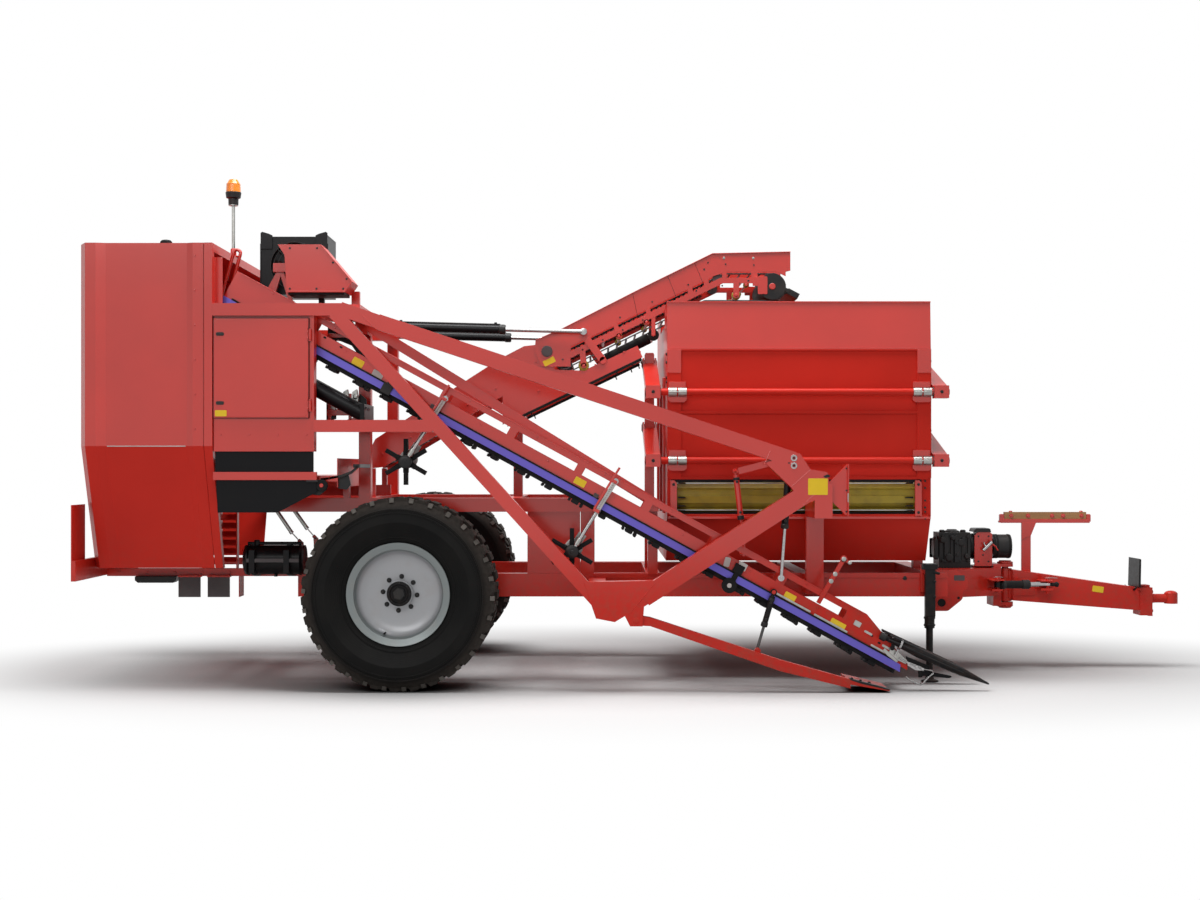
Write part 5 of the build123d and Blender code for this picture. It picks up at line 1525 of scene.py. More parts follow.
        pads.plate([(1.8, 0.14), (2.0, 0.1), (2.01, 0.09), (1.99, 0.082), (1.8, 0.1)], y - 0.008,
                   y + 0.004)
        pads.plate([(1.69, 0.235), (1.86, 0.165), (1.84, 0.115), (1.7, 0.185)], y - 0.01, y - 0.001)
        pads.piece("nose_pads", RUBBER, "lifting_unit", bevel=0.002)

    def cylinders(self) -> None:
        """Gland nuts, ports and eye rings of the cylinders beside the truss."""
        rows = (("lift_cylinder_barrel", (0.88, 1.547), (0.826, 0.776), -1.372, 0.024, 0.56),
                ("depth_cylinder_barrel", (0.775, 0.68), (0.66, 0.281), -1.372, 0.02, 0.6),
                ("strut_upper", (0.526, 1.512), (0.588, 0.96), -1.2, 0.02, 0.62))
        for body, top, low, y, radius, share in rows:
            a, b = Vector((top[0], y, top[1])), Vector((low[0], y, low[1]))
            way = (b - a).normalized()
            end = a.lerp(b, share)
            form = Form()
            form.lathe(end - way * 0.032, end,
                       [(0.0, radius + 0.001), (0.003, radius + 0.004), (0.026, radius + 0.004),
                        (0.03, radius)], 24)
            form.lathe(a + way * 0.045, b,
                       [(0.0, radius + 0.001), (0.004, radius + 0.003), (0.016, radius + 0.003),
                        (0.02, radius + 0.001)], 24)
            for at in (0.075, (end - a).length - 0.055):
                seat = a + way * at + Vector((0.0, -radius, 0.0))
                form.lathe(seat + Vector((0, 0.006, 0)), seat - Vector((0, 1, 0)),
                           [(0.0, 0.01), (0.016, 0.01), (0.019, 0.007)], 6)
            form.piece(f"{body}_glands", CAST, body)

    def dress(self) -> None:
        """Builds the unit's pieces."""
        self.plates()
        self.cleats()
        self.tensioner()
        self.guard_clamp()
        self.star_fittings()
        self.crank()
        self.torpedo()
        self.cylinders()


@dataclass
class SideTruss:
    """Fixings, seams and small hardware of the outboard truss and the drive behind it."""

    face: float = TRUSS_FACE

    def dress(self) -> None:
        """Builds the truss's pieces."""
        y = self.face
        eye = Form()
        for x, z in ((0.9, 1.601), (0.9, 1.549)):
            eye.stud((x, y - 0.003, z),
                     [(0.0, 0.012), (0.0, 0.022), (0.005, 0.022), (0.005, 0.012)], 28, True)
        eye.piece("truss_washers", CHROME, "chassis")
        pins = Form()
        for x, z in ((0.9, 1.601), (0.9, 1.549)):
            pins.stud((x, y - 0.005, z), [(0.0, 0.007), (0.007, 0.009)], 6)
        pins.stud((0.866, y - 0.0008, 1.567), [(0.0, 0.006), (0.003, 0.006)], 12)
        for x, z in ((1.262, 1.53), (1.262, 1.38), (1.262, 1.235)):
            pins.stud((x, y + 0.032, z), [(0.0, 0.006), (0.006, 0.008)], 6)
        pins.piece("truss_pins", CAST, "chassis")
        weld = Form()
        for start, end in (((0.88, 1.403), (1.014, 1.523)), ((-0.444, 0.508), (-0.53, 0.757)),
                           ((-0.215, 0.546), (-0.032, 0.766)),
                           ((0.959, 1.281), (1.064, 1.377)), ((-2.04, 2.574), (-1.972, 2.5)),
                           ((0.7, 1.56), (0.74, 1.65))):
            weld.rod((start[0], y + 0.002, start[1]), (end[0], y + 0.002, end[1]), 0.0032, 8)
        weld.piece("truss_welds", RED, "chassis")
        web = Form().plate([(-0.19, 0.7), (-0.072, 0.7), (-0.04, 0.64), (-0.118, 0.59),
                            (-0.152, 0.578), (-0.2, 0.56)],
                           y + 0.002, y + 0.014)
        web.piece("truss_web", RED, "chassis", bevel=0.001)
        hook = Form().plate([(1.098, 1.478), (1.128, 1.49), (1.148, 1.482), (1.14, 1.47),
                             (1.112, 1.466)], y - 0.003, y + 0.01)
        hook.piece("truss_hook", CAST, "chassis", bevel=0.001)
        Form().box((1.268, 1.272), (y - 0.004, y + 0.03), (1.3, 1.36)).piece("side_marker", PALE,
                "chassis", bevel=0.0008)
        share = Form()
        share.stud((-0.174, y - 0.004, 0.495), [(0.0, 0.014), (0.003, 0.024), (0.006, 0.024)], 6)
        share.piece("share_pin_head", RED, "chassis")
        blade = Form().plate([(1.285, 0.098), (1.372, 0.075), (1.56, 0.026), (1.548, 0.018),
                              (1.36, 0.062), (1.283, 0.088)], -1.484, -1.422)
        blade.piece("share_edge", CAST, "share", bevel=0.002)
        bolts("share_bolts", "share", CAST,
              [BoltLine((1.3, -1.45, 0.094), (1.42, -1.45, 0.066), 3, (0.24, 0.0, 0.97), 0.016)])
        self.drive()

    def drive(self) -> None:
        """Guard plates, frame and clamps of the drive between the cabinet and the truss."""
        back = Form()
        back.plate([(-2.35, 2.56), (-2.35, 2.39), (-2.28, 2.44), (-2.18, 2.4), (-2.11, 2.3),
                    (-2.075, 2.18),
                    (-2.075, 2.42), (-2.13, 2.52), (-2.18, 2.56)], -1.02, -1.008)
        back.plate([(-2.36, 2.06), (-2.29, 2.075), (-2.29, 1.88), (-2.36, 1.86)], -1.02, -1.008)
        back.plate([(-2.12, 2.06), (-2.075, 2.02), (-2.075, 1.84), (-2.15, 1.84), (-2.165, 1.96)],
                   -1.02, -1.008)
        back.piece("drive_guard", CAST, "chassis", bevel=0.002)
        frame = Form()
        for a, b, wide in (((-2.35, 2.47), (-2.1, 2.47), 0.03),
                           ((-2.335, 1.83), (-2.335, 2.1), 0.024),
                           ((-2.19, 1.83), (-2.19, 2.06), 0.022),
                           ((-2.28, 1.835), (-2.06, 1.905), 0.034)):
            frame.plate(strip(a, b, wide), -1.04, -1.019)
        frame.box((-2.355, -2.07), (-1.045, -1.005), (1.905, 1.95))
        frame.piece("drive_frame", RED, "chassis", bevel=0.002)
        clamps = Form()
        corners = ((-0.02, -0.07), (0.012, -0.08), (0.026, 0.0), (0.014, 0.07), (-0.018, 0.05))
        for x in (-2.3, -2.215, -2.15):
            clamps.hull([(x + dx, y, 2.02 + dz) for y in (-1.075, -1.035) for dx, dz in corners])
            clamps.lathe((x + 0.004, -1.084, 2.035), (x + 0.004, 0.0, 2.035),
                         [(0.0, 0.01), (0.004, 0.016), (0.012, 0.018)], 16)
        clamps.piece("drive_clamps", ZINC, "chassis", bevel=0.004)


@dataclass
class Elevator:
    """Folding head: drum disc, deflector, support rollers, painted shade along the seams, cleaning
    roll and bolts.
    """

    side: float = ELEVATOR_SIDE
    drum: Flat = (0.869, 2.891)
    start: Flat = (-0.8, 2.303)
    climb: float = 0.49
    level: float = 2.936
    pivot: Flat = (-0.817, 2.406)

    def rail(self, x: float) -> float:
        """Height of the lower rail's centre line."""
        return min(self.start[1] + (x - self.start[0]) * self.climb, self.level)

    def both(self, form: Form, outline: Sequence[Flat], near: float, far: float) -> None:
        """Draws an outline on the near side plate and its mirror image on the far one."""
        form.plate(outline, -far, -near)
        form.plate(outline, near, far)

    def studs(self, form: Form, at: Flat, out: float, profile: Sequence[Flat], sides: int) -> None:
        """Turns the same form on both sides.

        Args:
            form: the mesh that takes them.
            at: (x, z) of their line.
            out: distance of their faces from the centre plane.
            profile: as in lathe.
            sides: facets round them.
        """
        for sign in (-1, 1):
            form.stud((at[0], sign * out, at[1]), profile, sides)

    def head(self) -> None:
        """Discs, bracket covers and deflector at the head drum."""
        y = self.side
        disc, red = Form(), Form()
        self.studs(disc, self.drum, y + 0.008, [(0.0, 0.097), (0.002, 0.101), (0.008, 0.101)], 56)
        self.studs(red, self.drum, y + 0.014, [(0.0, 0.02), (0.002, 0.024), (0.009, 0.024)], 28)
        disc.piece("drum_discs", CAST, "elevator_head", bevel=0.0008)
        self.both(red, tilted((0.7965, 2.899), (0.072, 0.132), 0.0, 0.004), y, y + 0.012)
        self.both(red, tilted((0.745, 2.93), (0.046, 0.07), 0.0, 0.004), y, y + 0.006)
        red.piece("drum_bearers", RED, "elevator_head", bevel=0.0015)
        blade = Form().plate(strip((0.982, 2.86), (1.066, 2.816), 0.044), -y - 0.002, y + 0.002)
        self.both(blade, strip((0.93, 2.886), (1.0, 2.852), 0.03), y, y + 0.006)
        blade.piece("deflector", CAST, "elevator_head", bevel=0.003)

    def rollers(self) -> None:
        """Yellow support rollers with red centres, the grey turn rollers and their links."""
        y = self.side
        yellow, red, grey = Form(), Form(), Form()
        for x, z, radius in ((0.6, 2.826, 0.034), (-0.542, 2.3, 0.04), (-0.278, 2.52, 0.026),
                             (-0.072, 2.624, 0.024), (0.673, 2.902, 0.02)):
            rim = [(0.0, radius - 0.004), (0.004, radius), (0.026, radius), (0.03, radius - 0.004)]
            self.studs(yellow, (x, z), y - 0.01, rim, 28)
            self.studs(red, (x, z), y + 0.01, [(0.0, 0.009), (0.003, 0.012), (0.025, 0.012)], 16)
            red.rod((x, -y + 0.01, z), (x, y - 0.01, z), 0.008, 12)
        for x, z in ((-0.542, 2.3), (-0.278, 2.52), (-0.072, 2.624)):
            self.both(red, strip((x - 0.012, self.rail(x) + 0.006), (x, z - 0.006), 0.044),
                      y - 0.008, y + 0.001)
            self.both(red, circle((x, z), 0.022), y - 0.008, y + 0.001)
        yellow.piece("support_rollers", SLAT, "elevator_head", bevel=0.001)
        red.piece("roller_links", RED, "elevator_head", bevel=0.001)
        for x, z, radius in ((0.462, 2.945, 0.042), (-0.7, 2.372, 0.052)):
            self.studs(grey, (x, z), y - 0.009,
                       [(0.0, radius - 0.006), (0.004, radius), (0.024, radius)], 32)
        grey.piece("turn_rollers", FLAP, "elevator_head")

    def ladder(self) -> None:
        """Holed edge of the rod chain, seen between the side band and the lower rail."""
        near, far = self.side - 0.025, self.side - 0.015
        form = Form()
        start, end = -0.64, 0.38
        for low in (0.01, 0.04):
            self.both(form, strip((start, self.rail(start) + low), (end, self.rail(end) + low),
                                  0.008), near, far)
        x = start
        while x < end:
            z = self.rail(x)
            self.both(form, strip((x, z + 0.01), (x - 0.005, z + 0.04), 0.013), near, far)
            x += 0.034
        form.piece("chain_edge", RUBBER, "elevator_head", smooth=False)

    def roll(self) -> None:
        """Cleaning roll under the head, with its hook plate and end wheel."""
        a, b = Vector((-0.372, -0.18, 2.356)), Vector((-0.048, -0.18, 2.516))
        along = (b - a).normalized()
        length = (b - a).length
        tube = Form().lathe(a, b,
                            [(0.0, 0.034), (0.006, 0.04), (length - 0.006, 0.04), (length, 0.034)],
                            32)
        tube.lathe(a - along * 0.016, b, [(0.0, 0.016), (length + 0.05, 0.016)], 16)
        tube.stud((-0.02, -0.33, 2.53),
                  [(0.0, 0.034), (0.004, 0.043), (0.026, 0.043), (0.03, 0.034)], 32)
        tube.piece("cleaning_roll", RUBBER, "elevator_head")
        y = self.side
        hook = Form()
        self.both(hook, strip((-0.52, 2.5), (-0.4, 2.34), 0.056), y, y + 0.008)
        self.both(hook, circle((-0.398, 2.338), 0.028), y, y + 0.008)
        hook.rod((-0.398, -y, 2.338), (-0.398, y, 2.338), 0.012, 16)
        self.both(hook, strip((-0.02, self.rail(-0.02)), (-0.02, 2.524), 0.03), y - 0.012,
                  y - 0.001)
        hook.rod((-0.02, -y + 0.004, 2.53), (-0.02, y - 0.004, 2.53), 0.012, 16)
        hook.piece("roll_brackets", RED, "elevator_head", bevel=0.0015)

    def skin(self) -> None:
        """Painted shade along the lap seams, folded top edges and bolts of the side bands, and the
        fold pin's heads.
        """
        y = self.side
        # Thin dark strips on the side bands: painted shade where the sheets lap.
        seams = Form()
        for low, high in (((-0.14, 2.672), (-0.176, 2.842)), ((0.15, 2.812), (0.086, 2.97)),
                          ((0.35, 2.92), (0.286, 3.07))):
            self.both(seams, strip(low, high, 0.0026), y, y + 0.0006)
        seams.piece("band_seams", CURTAIN, "elevator_head")
        edge = Form()
        for a, b in (((-0.903, 2.492), (-0.701, 2.579)), ((-0.701, 2.579), (-0.121, 2.874)),
                     ((-0.121, 2.874), (0.421, 3.14)), ((0.421, 3.14), (1.005, 3.153))):
            lower = [(a[0], a[1] - 0.007), (b[0], b[1] - 0.007), (b[0], b[1] - 0.0005),
                     (a[0], a[1] - 0.0005)]
            self.both(edge, lower, y - 0.004, y + 0.01)
        edge.piece("band_edges", RED, "elevator_head", bevel=0.0008)
        zinc = [single((x, -y, 3.104), OUT, 0.013) for x in (0.508, 0.727)]
        bolts("head_bright_bolts", "elevator_head", ZINC, zinc)
        rows = [BoltLine((-0.27, -y, 2.66), (-0.03, -y, 2.776), 2, OUT, 0.009),
                BoltLine((0.24, -y, 2.905), (0.36, -y, 3.02), 2, OUT, 0.009),
                BoltLine((0.388, -y, 3.07), (0.52, -y, 3.058), 2, OUT, 0.009),
                single((0.732, -y, 3.052), OUT, 0.009),
                BoltLine((-0.7, -y, 2.345), (-0.1, -y, 2.64), 5, OUT, 0.009),
                BoltLine((0.3, -y, 2.86), (0.69, -y, 2.934), 3, OUT, 0.009)]
        bolts("head_bolts", "elevator_head", CAST, rows)
        pivot = Form()
        self.studs(pivot, self.pivot, y + 0.02, [(0.0, 0.024), (0.004, 0.04), (0.019, 0.042)], 32)
        pivot.piece("fold_pin_heads", FLAP, "chassis")

    def base(self) -> None:
        """Seal strip, short ties and bolts along the fixed elevator."""
        y = 0.336
        dark = Form()
        for a, b in (((-1.12, 1.868), (-0.966, 1.944)), ((-0.966, 1.944), (-0.108, 2.356))):
            self.both(dark, strip((a[0], a[1] - 0.006), (b[0], b[1] - 0.006), 0.02), y - 0.012,
                      y + 0.001)
        for x in (-0.94, -0.3, -0.18, -0.12):
            self.both(dark, strip((x, 2.36 + (x + 0.101) * 0.48),
                                  (x + 0.012, 2.324 + (x + 0.101) * 0.48), 0.009), y - 0.01,
                                  y - 0.002)
        dark.piece("chute_seal", RUBBER, "chassis")
        bolts("elevator_bolts", "chassis", RED,
              [BoltLine((-2.05, -0.337, 1.64), (-1.2, -0.337, 2.13), 5, OUT, 0.012),
                                                 BoltLine((-1.09, -0.337, 2.24),
                                                         (-0.9, -0.337, 2.33), 2, OUT, 0.012),
                                                 BoltLine((-0.88, -0.337, 2.11),
                                                         (-0.24, -0.337, 2.4), 4, OUT, 0.012)])

    def dress(self) -> None:
        """Builds the elevator's pieces."""
        self.head()
        self.rollers()
        self.ladder()
        self.roll()
        self.skin()
        self.base()


@dataclass
class Bunker:
    """Bunker trim: tube straps, corner covers, floor guards, seal, studs and sheet stiffeners."""

    x: Flat = (0.061, 1.949)
    near: float = -0.9
    rib: float = 0.014
    hinge_y: float = -0.95
    hinges: Flat = (2.075, 1.586)
    window: Flat = (1.191, 1.461)

    def straps(self) -> None:
        """Bright two-half straps round the hinge tubes, with the blocks behind them."""
        bright, red = Form(), Form()
        for z in self.hinges:
            for x in (self.x[0] + 0.006, self.x[1] - 0.136):
                for shift in (0.0, 0.07):
                    low = x + shift
                    bright.lathe((low, self.hinge_y, z), (low + 1, self.hinge_y, z),
                                 [(0.0, 0.025), (0.0, 0.033), (0.06, 0.033), (0.06, 0.025)], 32,
                                 True)
                bright.box((x + 0.008, x + 0.122), (self.hinge_y - 0.036, self.hinge_y + 0.04),
                           (z - 0.004, z + 0.004))
                red.plate([(x - 0.002, z - 0.022), (x + 0.132, z - 0.022), (x + 0.132, z - 0.058),
                           (x + 0.114, z - 0.074),
                           (x + 0.016, z - 0.074), (x - 0.002, z - 0.058)],
                           self.near - self.rib - 0.03, self.near)
                red.plate([(x + 0.004, z + 0.075), (x + 0.126, z + 0.075), (x + 0.126, z + 0.022),
                           (x + 0.004, z + 0.022)],
                          self.near - self.rib - 0.008, self.near)
        bright.piece("tube_straps", ZINC, "bunker", bevel=0.001)
        red.piece("strap_blocks", RED, "bunker", bevel=0.002)

    def corners(self) -> None:
        """Upper corner covers, studs and the ribs of the end and far walls."""
        y = self.near - self.rib
        cover = Form()
        for x in (self.x[0], self.x[1] - 0.1):
            cover.box((x + 0.001, x + 0.099), (y - 0.0035, y + 0.001), (2.213, 2.382))
        cover.piece("corner_covers", RED, "bunker", bevel=0.001)
        rows = [BoltLine((self.x[0], self.near + 0.03, 2.35), (self.x[0], self.near + 0.03, 2.29),
                         2, BACK, 0.02),
                BoltLine((self.x[0], self.near + 0.03, 2.18), (self.x[0], self.near + 0.03, 2.15),
                         2, BACK, 0.018)]
        rows += [BoltLine((self.x[1], self.near + 0.03, z), (self.x[1], self.near + 0.03, z - 0.06),
                          2, FORE, 0.02) for z in (2.3, 1.8)]
        bolts("corner_studs", "bunker", CAST, rows)
        ribs = Form()
        for end, way in ((self.x[0], -1), (self.x[1], 1)):
            for y0 in (-0.5, 0.1, 0.7):
                low, high = sorted((end, end + way * 0.02))
                ribs.box((low, high), (y0 - 0.02, y0 + 0.02),
                         (1.2, 2.2 if way > 0 or abs(y0) > 0.45 else 2.1))
        for x in (0.42, 0.8, 1.18, 1.56):
            ribs.box((x - 0.022, x + 0.022), (1.15, 1.166), (1.2, 2.36))
        ribs.box((self.x[0] + 0.02, self.x[1] - 0.02), (1.15, 1.16), (2.345, 2.385))
        ribs.piece("wall_ribs", RED, "bunker", bevel=0.002)

    def floor_guards(self) -> None:
        """Seal, guide strips and end guards round the slatted floor's near roller."""
        y = self.near
        seal = Form().box((0.086, 1.879), (y - 0.01, y + 0.004),
                          (self.window[1] - 0.03, self.window[1] + 0.001))
        seal.box((0.086, 1.879), (y + 0.006, y + 0.02),
                 (self.window[0] + 0.012, self.window[0] + 0.026))
        for x in (0.14, 1.822):
            for z in (1.425, 1.322, 1.262, 1.228):
                way = 1 if x < 1 else -1
                seal.plate([(x, z - 0.006), (x + way * 0.06, z - 0.004),
                            (x + way * 0.046, z + 0.004), (x, z + 0.006)], y - 0.006, y + 0.022)
        seal.piece("window_seal", RUBBER, "bunker")
        pale = Form()
        for z in (1.424, 1.231):
            pale.plate([(0.135, z - 0.003), (1.828, z - 0.003), (1.832, z + 0.004),
                        (0.131, z + 0.004)], y - 0.004, y + 0.02)
        pale.piece("guide_strips", ZINC, "bunker", bevel=0.0008)
        guard = Form()
        for x in (0.082, 1.832):
            guard.plate([(x, 1.19), (x + 0.048, 1.19), (x + 0.048, 1.425), (x + 0.03, 1.445),
                         (x, 1.445)], y - self.rib - 0.012, y + 0.002)
        guard.box((0.065, 1.945), (y - self.rib - 0.004, y + 0.002), (1.168, 1.186))
        guard.piece("floor_end_guards", RED, "bunker", bevel=0.002)
        bolts("guard_bolts", "bunker", CAST,
              [BoltLine((x, y - self.rib - 0.012, 1.215), (x, y - self.rib - 0.012, 1.415), 2, OUT,
                        0.014) for x in (0.106, 1.856)]
              + [BoltLine((1.905, y - self.rib, z), (1.905, y - self.rib, z - 0.05), 2, OUT, 0.01)
                 for z in (1.44, 1.3, 1.22)])

    def arms(self) -> None:
        """Collars, grease nipples and end caps on the arm pins."""
        for level, z in zip(("upper", "lower"), self.hinges):
            caps = Form()
            for x, way in ((-0.094, -1), (0.01, 1), (1.957, -1), (2.061, 1)):
                for y, height in ((self.hinge_y, z), (-0.05, z + 0.255)):
                    caps.lathe((x + way * 0.004, y, height), (x - way, y, height),
                               [(0.0, 0.03), (0.002, 0.036), (0.008, 0.036)], 24)
            caps.piece(f"arm_collars_{level}", FLAP, f"bunker_arms_{level}")
            nip = Form()
            for x in (-0.042, 2.009):
                nip.lathe((x, self.hinge_y - 0.045, z), (x, -2.0, z),
                          [(0.0, 0.012), (0.003, 0.012), (0.003, 0.007), (0.01, 0.006)], 12)
            nip.piece(f"arm_nipples_{level}", CAST, f"bunker_arms_{level}")
        caps = Form()
        for x in (-0.078, -0.006, 1.973, 2.045):
            for z in self.hinges:
                caps.box((x - 0.003, x + 0.003), (-0.094, -0.006), (z + 0.225, z + 0.285))
        for ends in ((-0.078, -0.006, -0.012, -0.072), (1.973, 2.045, 2.039, 1.979)):
            caps.plate(list(zip(ends, (2.395, 2.395, 2.412, 2.412))), -0.096, -0.004)
        caps.piece("post_caps", RED, "chassis", bevel=0.003)

    def dress(self) -> None:
        """Builds the bunker's pieces."""
        self.straps()
        self.corners()
        self.floor_guards()
        self.arms()


@dataclass
class Front:
    """Pump and its bracket, hose rest, drawbar fittings, coupling and jack."""

    shaft_z: float = 0.931
    end_x: float = 3.708

    def pump(self) -> None:
        """Gearbox ribs, covers and bolts, the bracket plate, the tap and the guard's rings."""
        low, high = 2.165, 2.406
        body = Form()
        for x, radius, wide in ((2.148, 0.086, 0.03), (2.182, 0.104, 0.026), (2.218, 0.116, 0.03),
                                (2.262, 0.108, 0.022), (2.3, 0.118, 0.04),
                                (2.352, 0.104, 0.028), (2.392, 0.112, 0.02)):
            for sign in (-1, 1):
                body.prism(tilted((x, 0.915 if wide > 0.025 else 0.925), (wide, radius * 1.75), 0.0,
                                  0.008), Axis.Y, tuple(sorted((sign * 0.1, sign * radius * 1.12))))
        for x, z, radius in ((2.24, 0.85, 0.03), (2.33, 0.965, 0.026), (2.19, 0.985, 0.022),
                             (2.375, 0.86, 0.02), (2.27, 1.0, 0.018)):
            body.stud((x, -0.142, z), [(0.0, radius - 0.008), (0.004, radius), (0.05, radius)], 20)
        body.lathe((low - 0.026, 0.0, self.shaft_z - 0.01), (high, 0.0, self.shaft_z - 0.01),
                   [(0.0, 0.06), (0.006, 0.082), (0.014, 0.092), (0.032, 0.094)], 36)
        body.lathe((2.285, 0.0, 1.036), (2.285, 0.0, 2.0),
                   [(0.0, 0.062), (0.012, 0.06), (0.02, 0.04), (0.026, 0.036)], 28)
        for x in (2.2, 2.36):
            body.lathe((x, -0.05, 1.036), (x, -0.05, 2.0),
                       [(0.0, 0.022), (0.018, 0.022), (0.024, 0.015)], 6)
        for x in (2.418, 2.44, 2.462):
            body.lathe((x - 0.005, 0.0, self.shaft_z), (x + 1, 0.0, self.shaft_z),
                       [(0.0, 0.094), (0.003, 0.1), (0.01, 0.1), (0.013, 0.094)], 40)
        body.piece("pump_body", CAST, "chassis", bevel=0.003)
        bolts("pump_bolts", "chassis", CAST,
              [BoltLine((2.192, -0.131, z), (2.385, -0.126, z), 4, OUT, 0.018)
               for z in (0.825, 1.008)]
              + [BoltLine((2.3, -0.133, 0.87), (2.3, -0.133, 0.96), 2, OUT, 0.02)])
        bracket = Form().plate([(2.436, 0.772), (2.571, 0.772), (2.571, 1.028), (2.556, 1.044),
                                (2.462, 1.044), (2.436, 1.018)], -0.114, -0.098)
        bracket.plate([(2.436, 0.772), (2.571, 0.772), (2.571, 0.786), (2.436, 0.786)], -0.114,
                      0.09)
        bracket.piece("pump_bracket", RED, "chassis", bevel=0.002)
        dark = Form()
        for x, z in ((2.466, 0.82), (2.543, 0.82), (2.466, 1.012), (2.543, 1.012), (2.5, 0.87)):
            dark.stud((x, -0.1152, z), [(0.0, 0.0075), (0.002, 0.0075)], 16)
        dark.plate([(2.43, 1.044), (2.562, 1.044), (2.556, 1.066), (2.548, 1.072), (2.448, 1.072),
                    (2.436, 1.064)], -0.118, 0.06)
        dark.piece("bracket_top", CAST, "chassis", bevel=0.002)
        tap = Form()
        tap.rod((2.49, -0.15, 0.905), (2.56, -0.15, 0.972), 0.0155, 20, 0.004)
        tap.rod((2.53, -0.15, 0.944), (2.53, -0.108, 0.944), 0.01, 16)
        tap.rod((2.497, -0.15, 0.966), (2.513, -0.15, 0.93), 0.006, 12, 0.001)
        tap.piece("oil_tap", CHROME, "chassis")
        Form().sweep([(2.545, -0.146, 0.985), (2.56, -0.152, 0.955), (2.588, -0.15, 0.935),
                      (2.606, -0.146, 0.905)], 0.006, 10).piece(
            "tap_lever", RED, "chassis")
        rings = Form()
        for x in (2.594, 2.615, 2.708):
            rings.lathe((x, 0.0, self.shaft_z), (x + 1, 0.0, self.shaft_z),
                        [(0.0, 0.0905), (0.0, 0.0935), (0.014, 0.0935), (0.014, 0.0905)], 48, True)
        rings.piece("guard_rings", RUBBER, "chassis")

    def hose_rest(self) -> None:
        """Plank bolts, its end blocks, the under-edge angle and the post's gusset."""
        low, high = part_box("hose_plank")
        bolts("plank_bolts", "drawbar", RED,
              [single((x, low.y, 1.163), OUT, 0.024) for x in (2.757, 2.888, 3.074, 3.159, 3.302)])
        blocks = Form()
        for x in (low.x - 0.034, high.x + 0.002):
            blocks.plate([(x, 1.118), (x + 0.032, 1.118), (x + 0.032, 1.168), (x + 0.026, 1.176),
                          (x + 0.006, 1.176), (x, 1.168)], 0.058, 0.1)
        blocks.box((low.x - 0.03, high.x + 0.026), (0.056, 0.062), (1.108, 1.138))
        for x in (2.757, 3.302):
            blocks.lathe((x, 0.078, 1.188), (x, 0.078, 2.0),
                         [(0.0, 0.014), (0.01, 0.014), (0.014, 0.008)], 12)
        blocks.plate([(2.838, 1.112), (2.95, 1.112), (2.909, 1.01), (2.838, 0.98)], 0.054, 0.062)
        blocks.plate([(2.83, 0.69), (2.917, 0.69), (2.905, 0.745), (2.842, 0.752)], 0.052, 0.062)
        blocks.piece("plank_ends", RED, "drawbar", bevel=0.002)

    def drawbar(self) -> None:
        """Hitch and steering pins, seams, parking plate, end plate bolts and coupling."""
        caps = Form()
        for z, way in ((0.801, 1.0), (0.48, -1.0)):
            caps.lathe((2.695, 0.0, z), (2.695, 0.0, z + way),
                       [(0.0, 0.062), (0.01, 0.062), (0.014, 0.05), (0.022, 0.046)], 8)
        caps.lathe((*STEER_ROOT, 0.692), (*STEER_ROOT, 2.0),
                   [(0.0, 0.022), (0.008, 0.022), (0.012, 0.016)], 16)
        caps.lathe((*STEER_ROOT, 0.606), (*STEER_ROOT, 0.0),
                   [(0.0, 0.02), (0.008, 0.02), (0.012, 0.014)], 16)
        caps.box((2.52, 2.625), (-0.3, -0.105), (0.684, 0.692))
        caps.piece("hitch_caps", RED, "chassis", bevel=0.002)
        clips = Form()
        clips.sweep([(2.552, -0.262, 0.708), (2.58, -0.262, 0.712), (2.616, -0.262, 0.708)], 0.0022,
                    8)
        clips.rod((2.575, -0.25, 0.692), (2.575, -0.25, 0.716), 0.003, 8)
        clips.piece("hitch_clips", CHROME, "chassis")
        steer = Form()
        steer.lathe((*STEER_EYE, 0.626), (*STEER_EYE, 2.0),
                    [(0.0, 0.012), (0.046, 0.012), (0.046, 0.024), (0.056, 0.024), (0.06, 0.016),
                     (0.078, 0.016), (0.082, 0.01)], 20)
        steer.lathe((*STEER_EYE, 0.606), (*STEER_EYE, 0.0),
                    [(0.0, 0.02), (0.008, 0.02), (0.01, 0.014), (0.026, 0.014)], 20)
        steer.box((2.915, 3.01), (-0.225, -0.075), (0.672, 0.682))
        steer.piece("steer_lugs", RED, "drawbar", bevel=0.002)
        pin = Form().sweep([(2.948, -0.215, 0.7), (2.99, -0.215, 0.702), (3.04, -0.215, 0.699)],
                           0.0022, 8)
        pin.piece("steer_clip", CHROME, "drawbar")
        dark = Form()
        dark.lathe((2.992, -0.197, 0.65), (4.0, -0.15, 0.66),
                   [(0.0, 0.014), (0.036, 0.014), (0.04, 0.02), (0.056, 0.02), (0.066, 0.008)], 16)
        for y in (-0.135, 0.135):
            dark.rod((3.66, y, 0.62), (3.66, y * 0.6, 0.6), 0.008, 10)
        x = self.end_x
        dark.hull([(px, y, z) for y in (-0.134, 0.134) for px,
                   z in ((x - 0.026, 0.622), (x - 0.01, 0.618), (x - 0.006, 0.836),
                         (x - 0.02, 0.842))])
        dark.piece("parking_plate", BLACK, "drawbar", bevel=0.003)
        rows = [BoltLine((3.801, y, 0.44), (3.801, y, 0.585), 2, FORE, 0.026)
                for y in (-0.062, 0.062)]
        bolts("end_plate_bolts", "drawbar", RED, rows)
        weld = Form()
        weld.rod((3.709, -0.082, 0.452), (3.709, -0.082, 0.612), 0.004, 8)
        weld.rod((2.737, -0.081, 0.525), (2.737, -0.081, 0.75), 0.004, 8)
        weld.plate([(2.742, 0.7), (2.9, 0.676), (2.9, 0.56), (2.742, 0.556)], -0.084, -0.079)
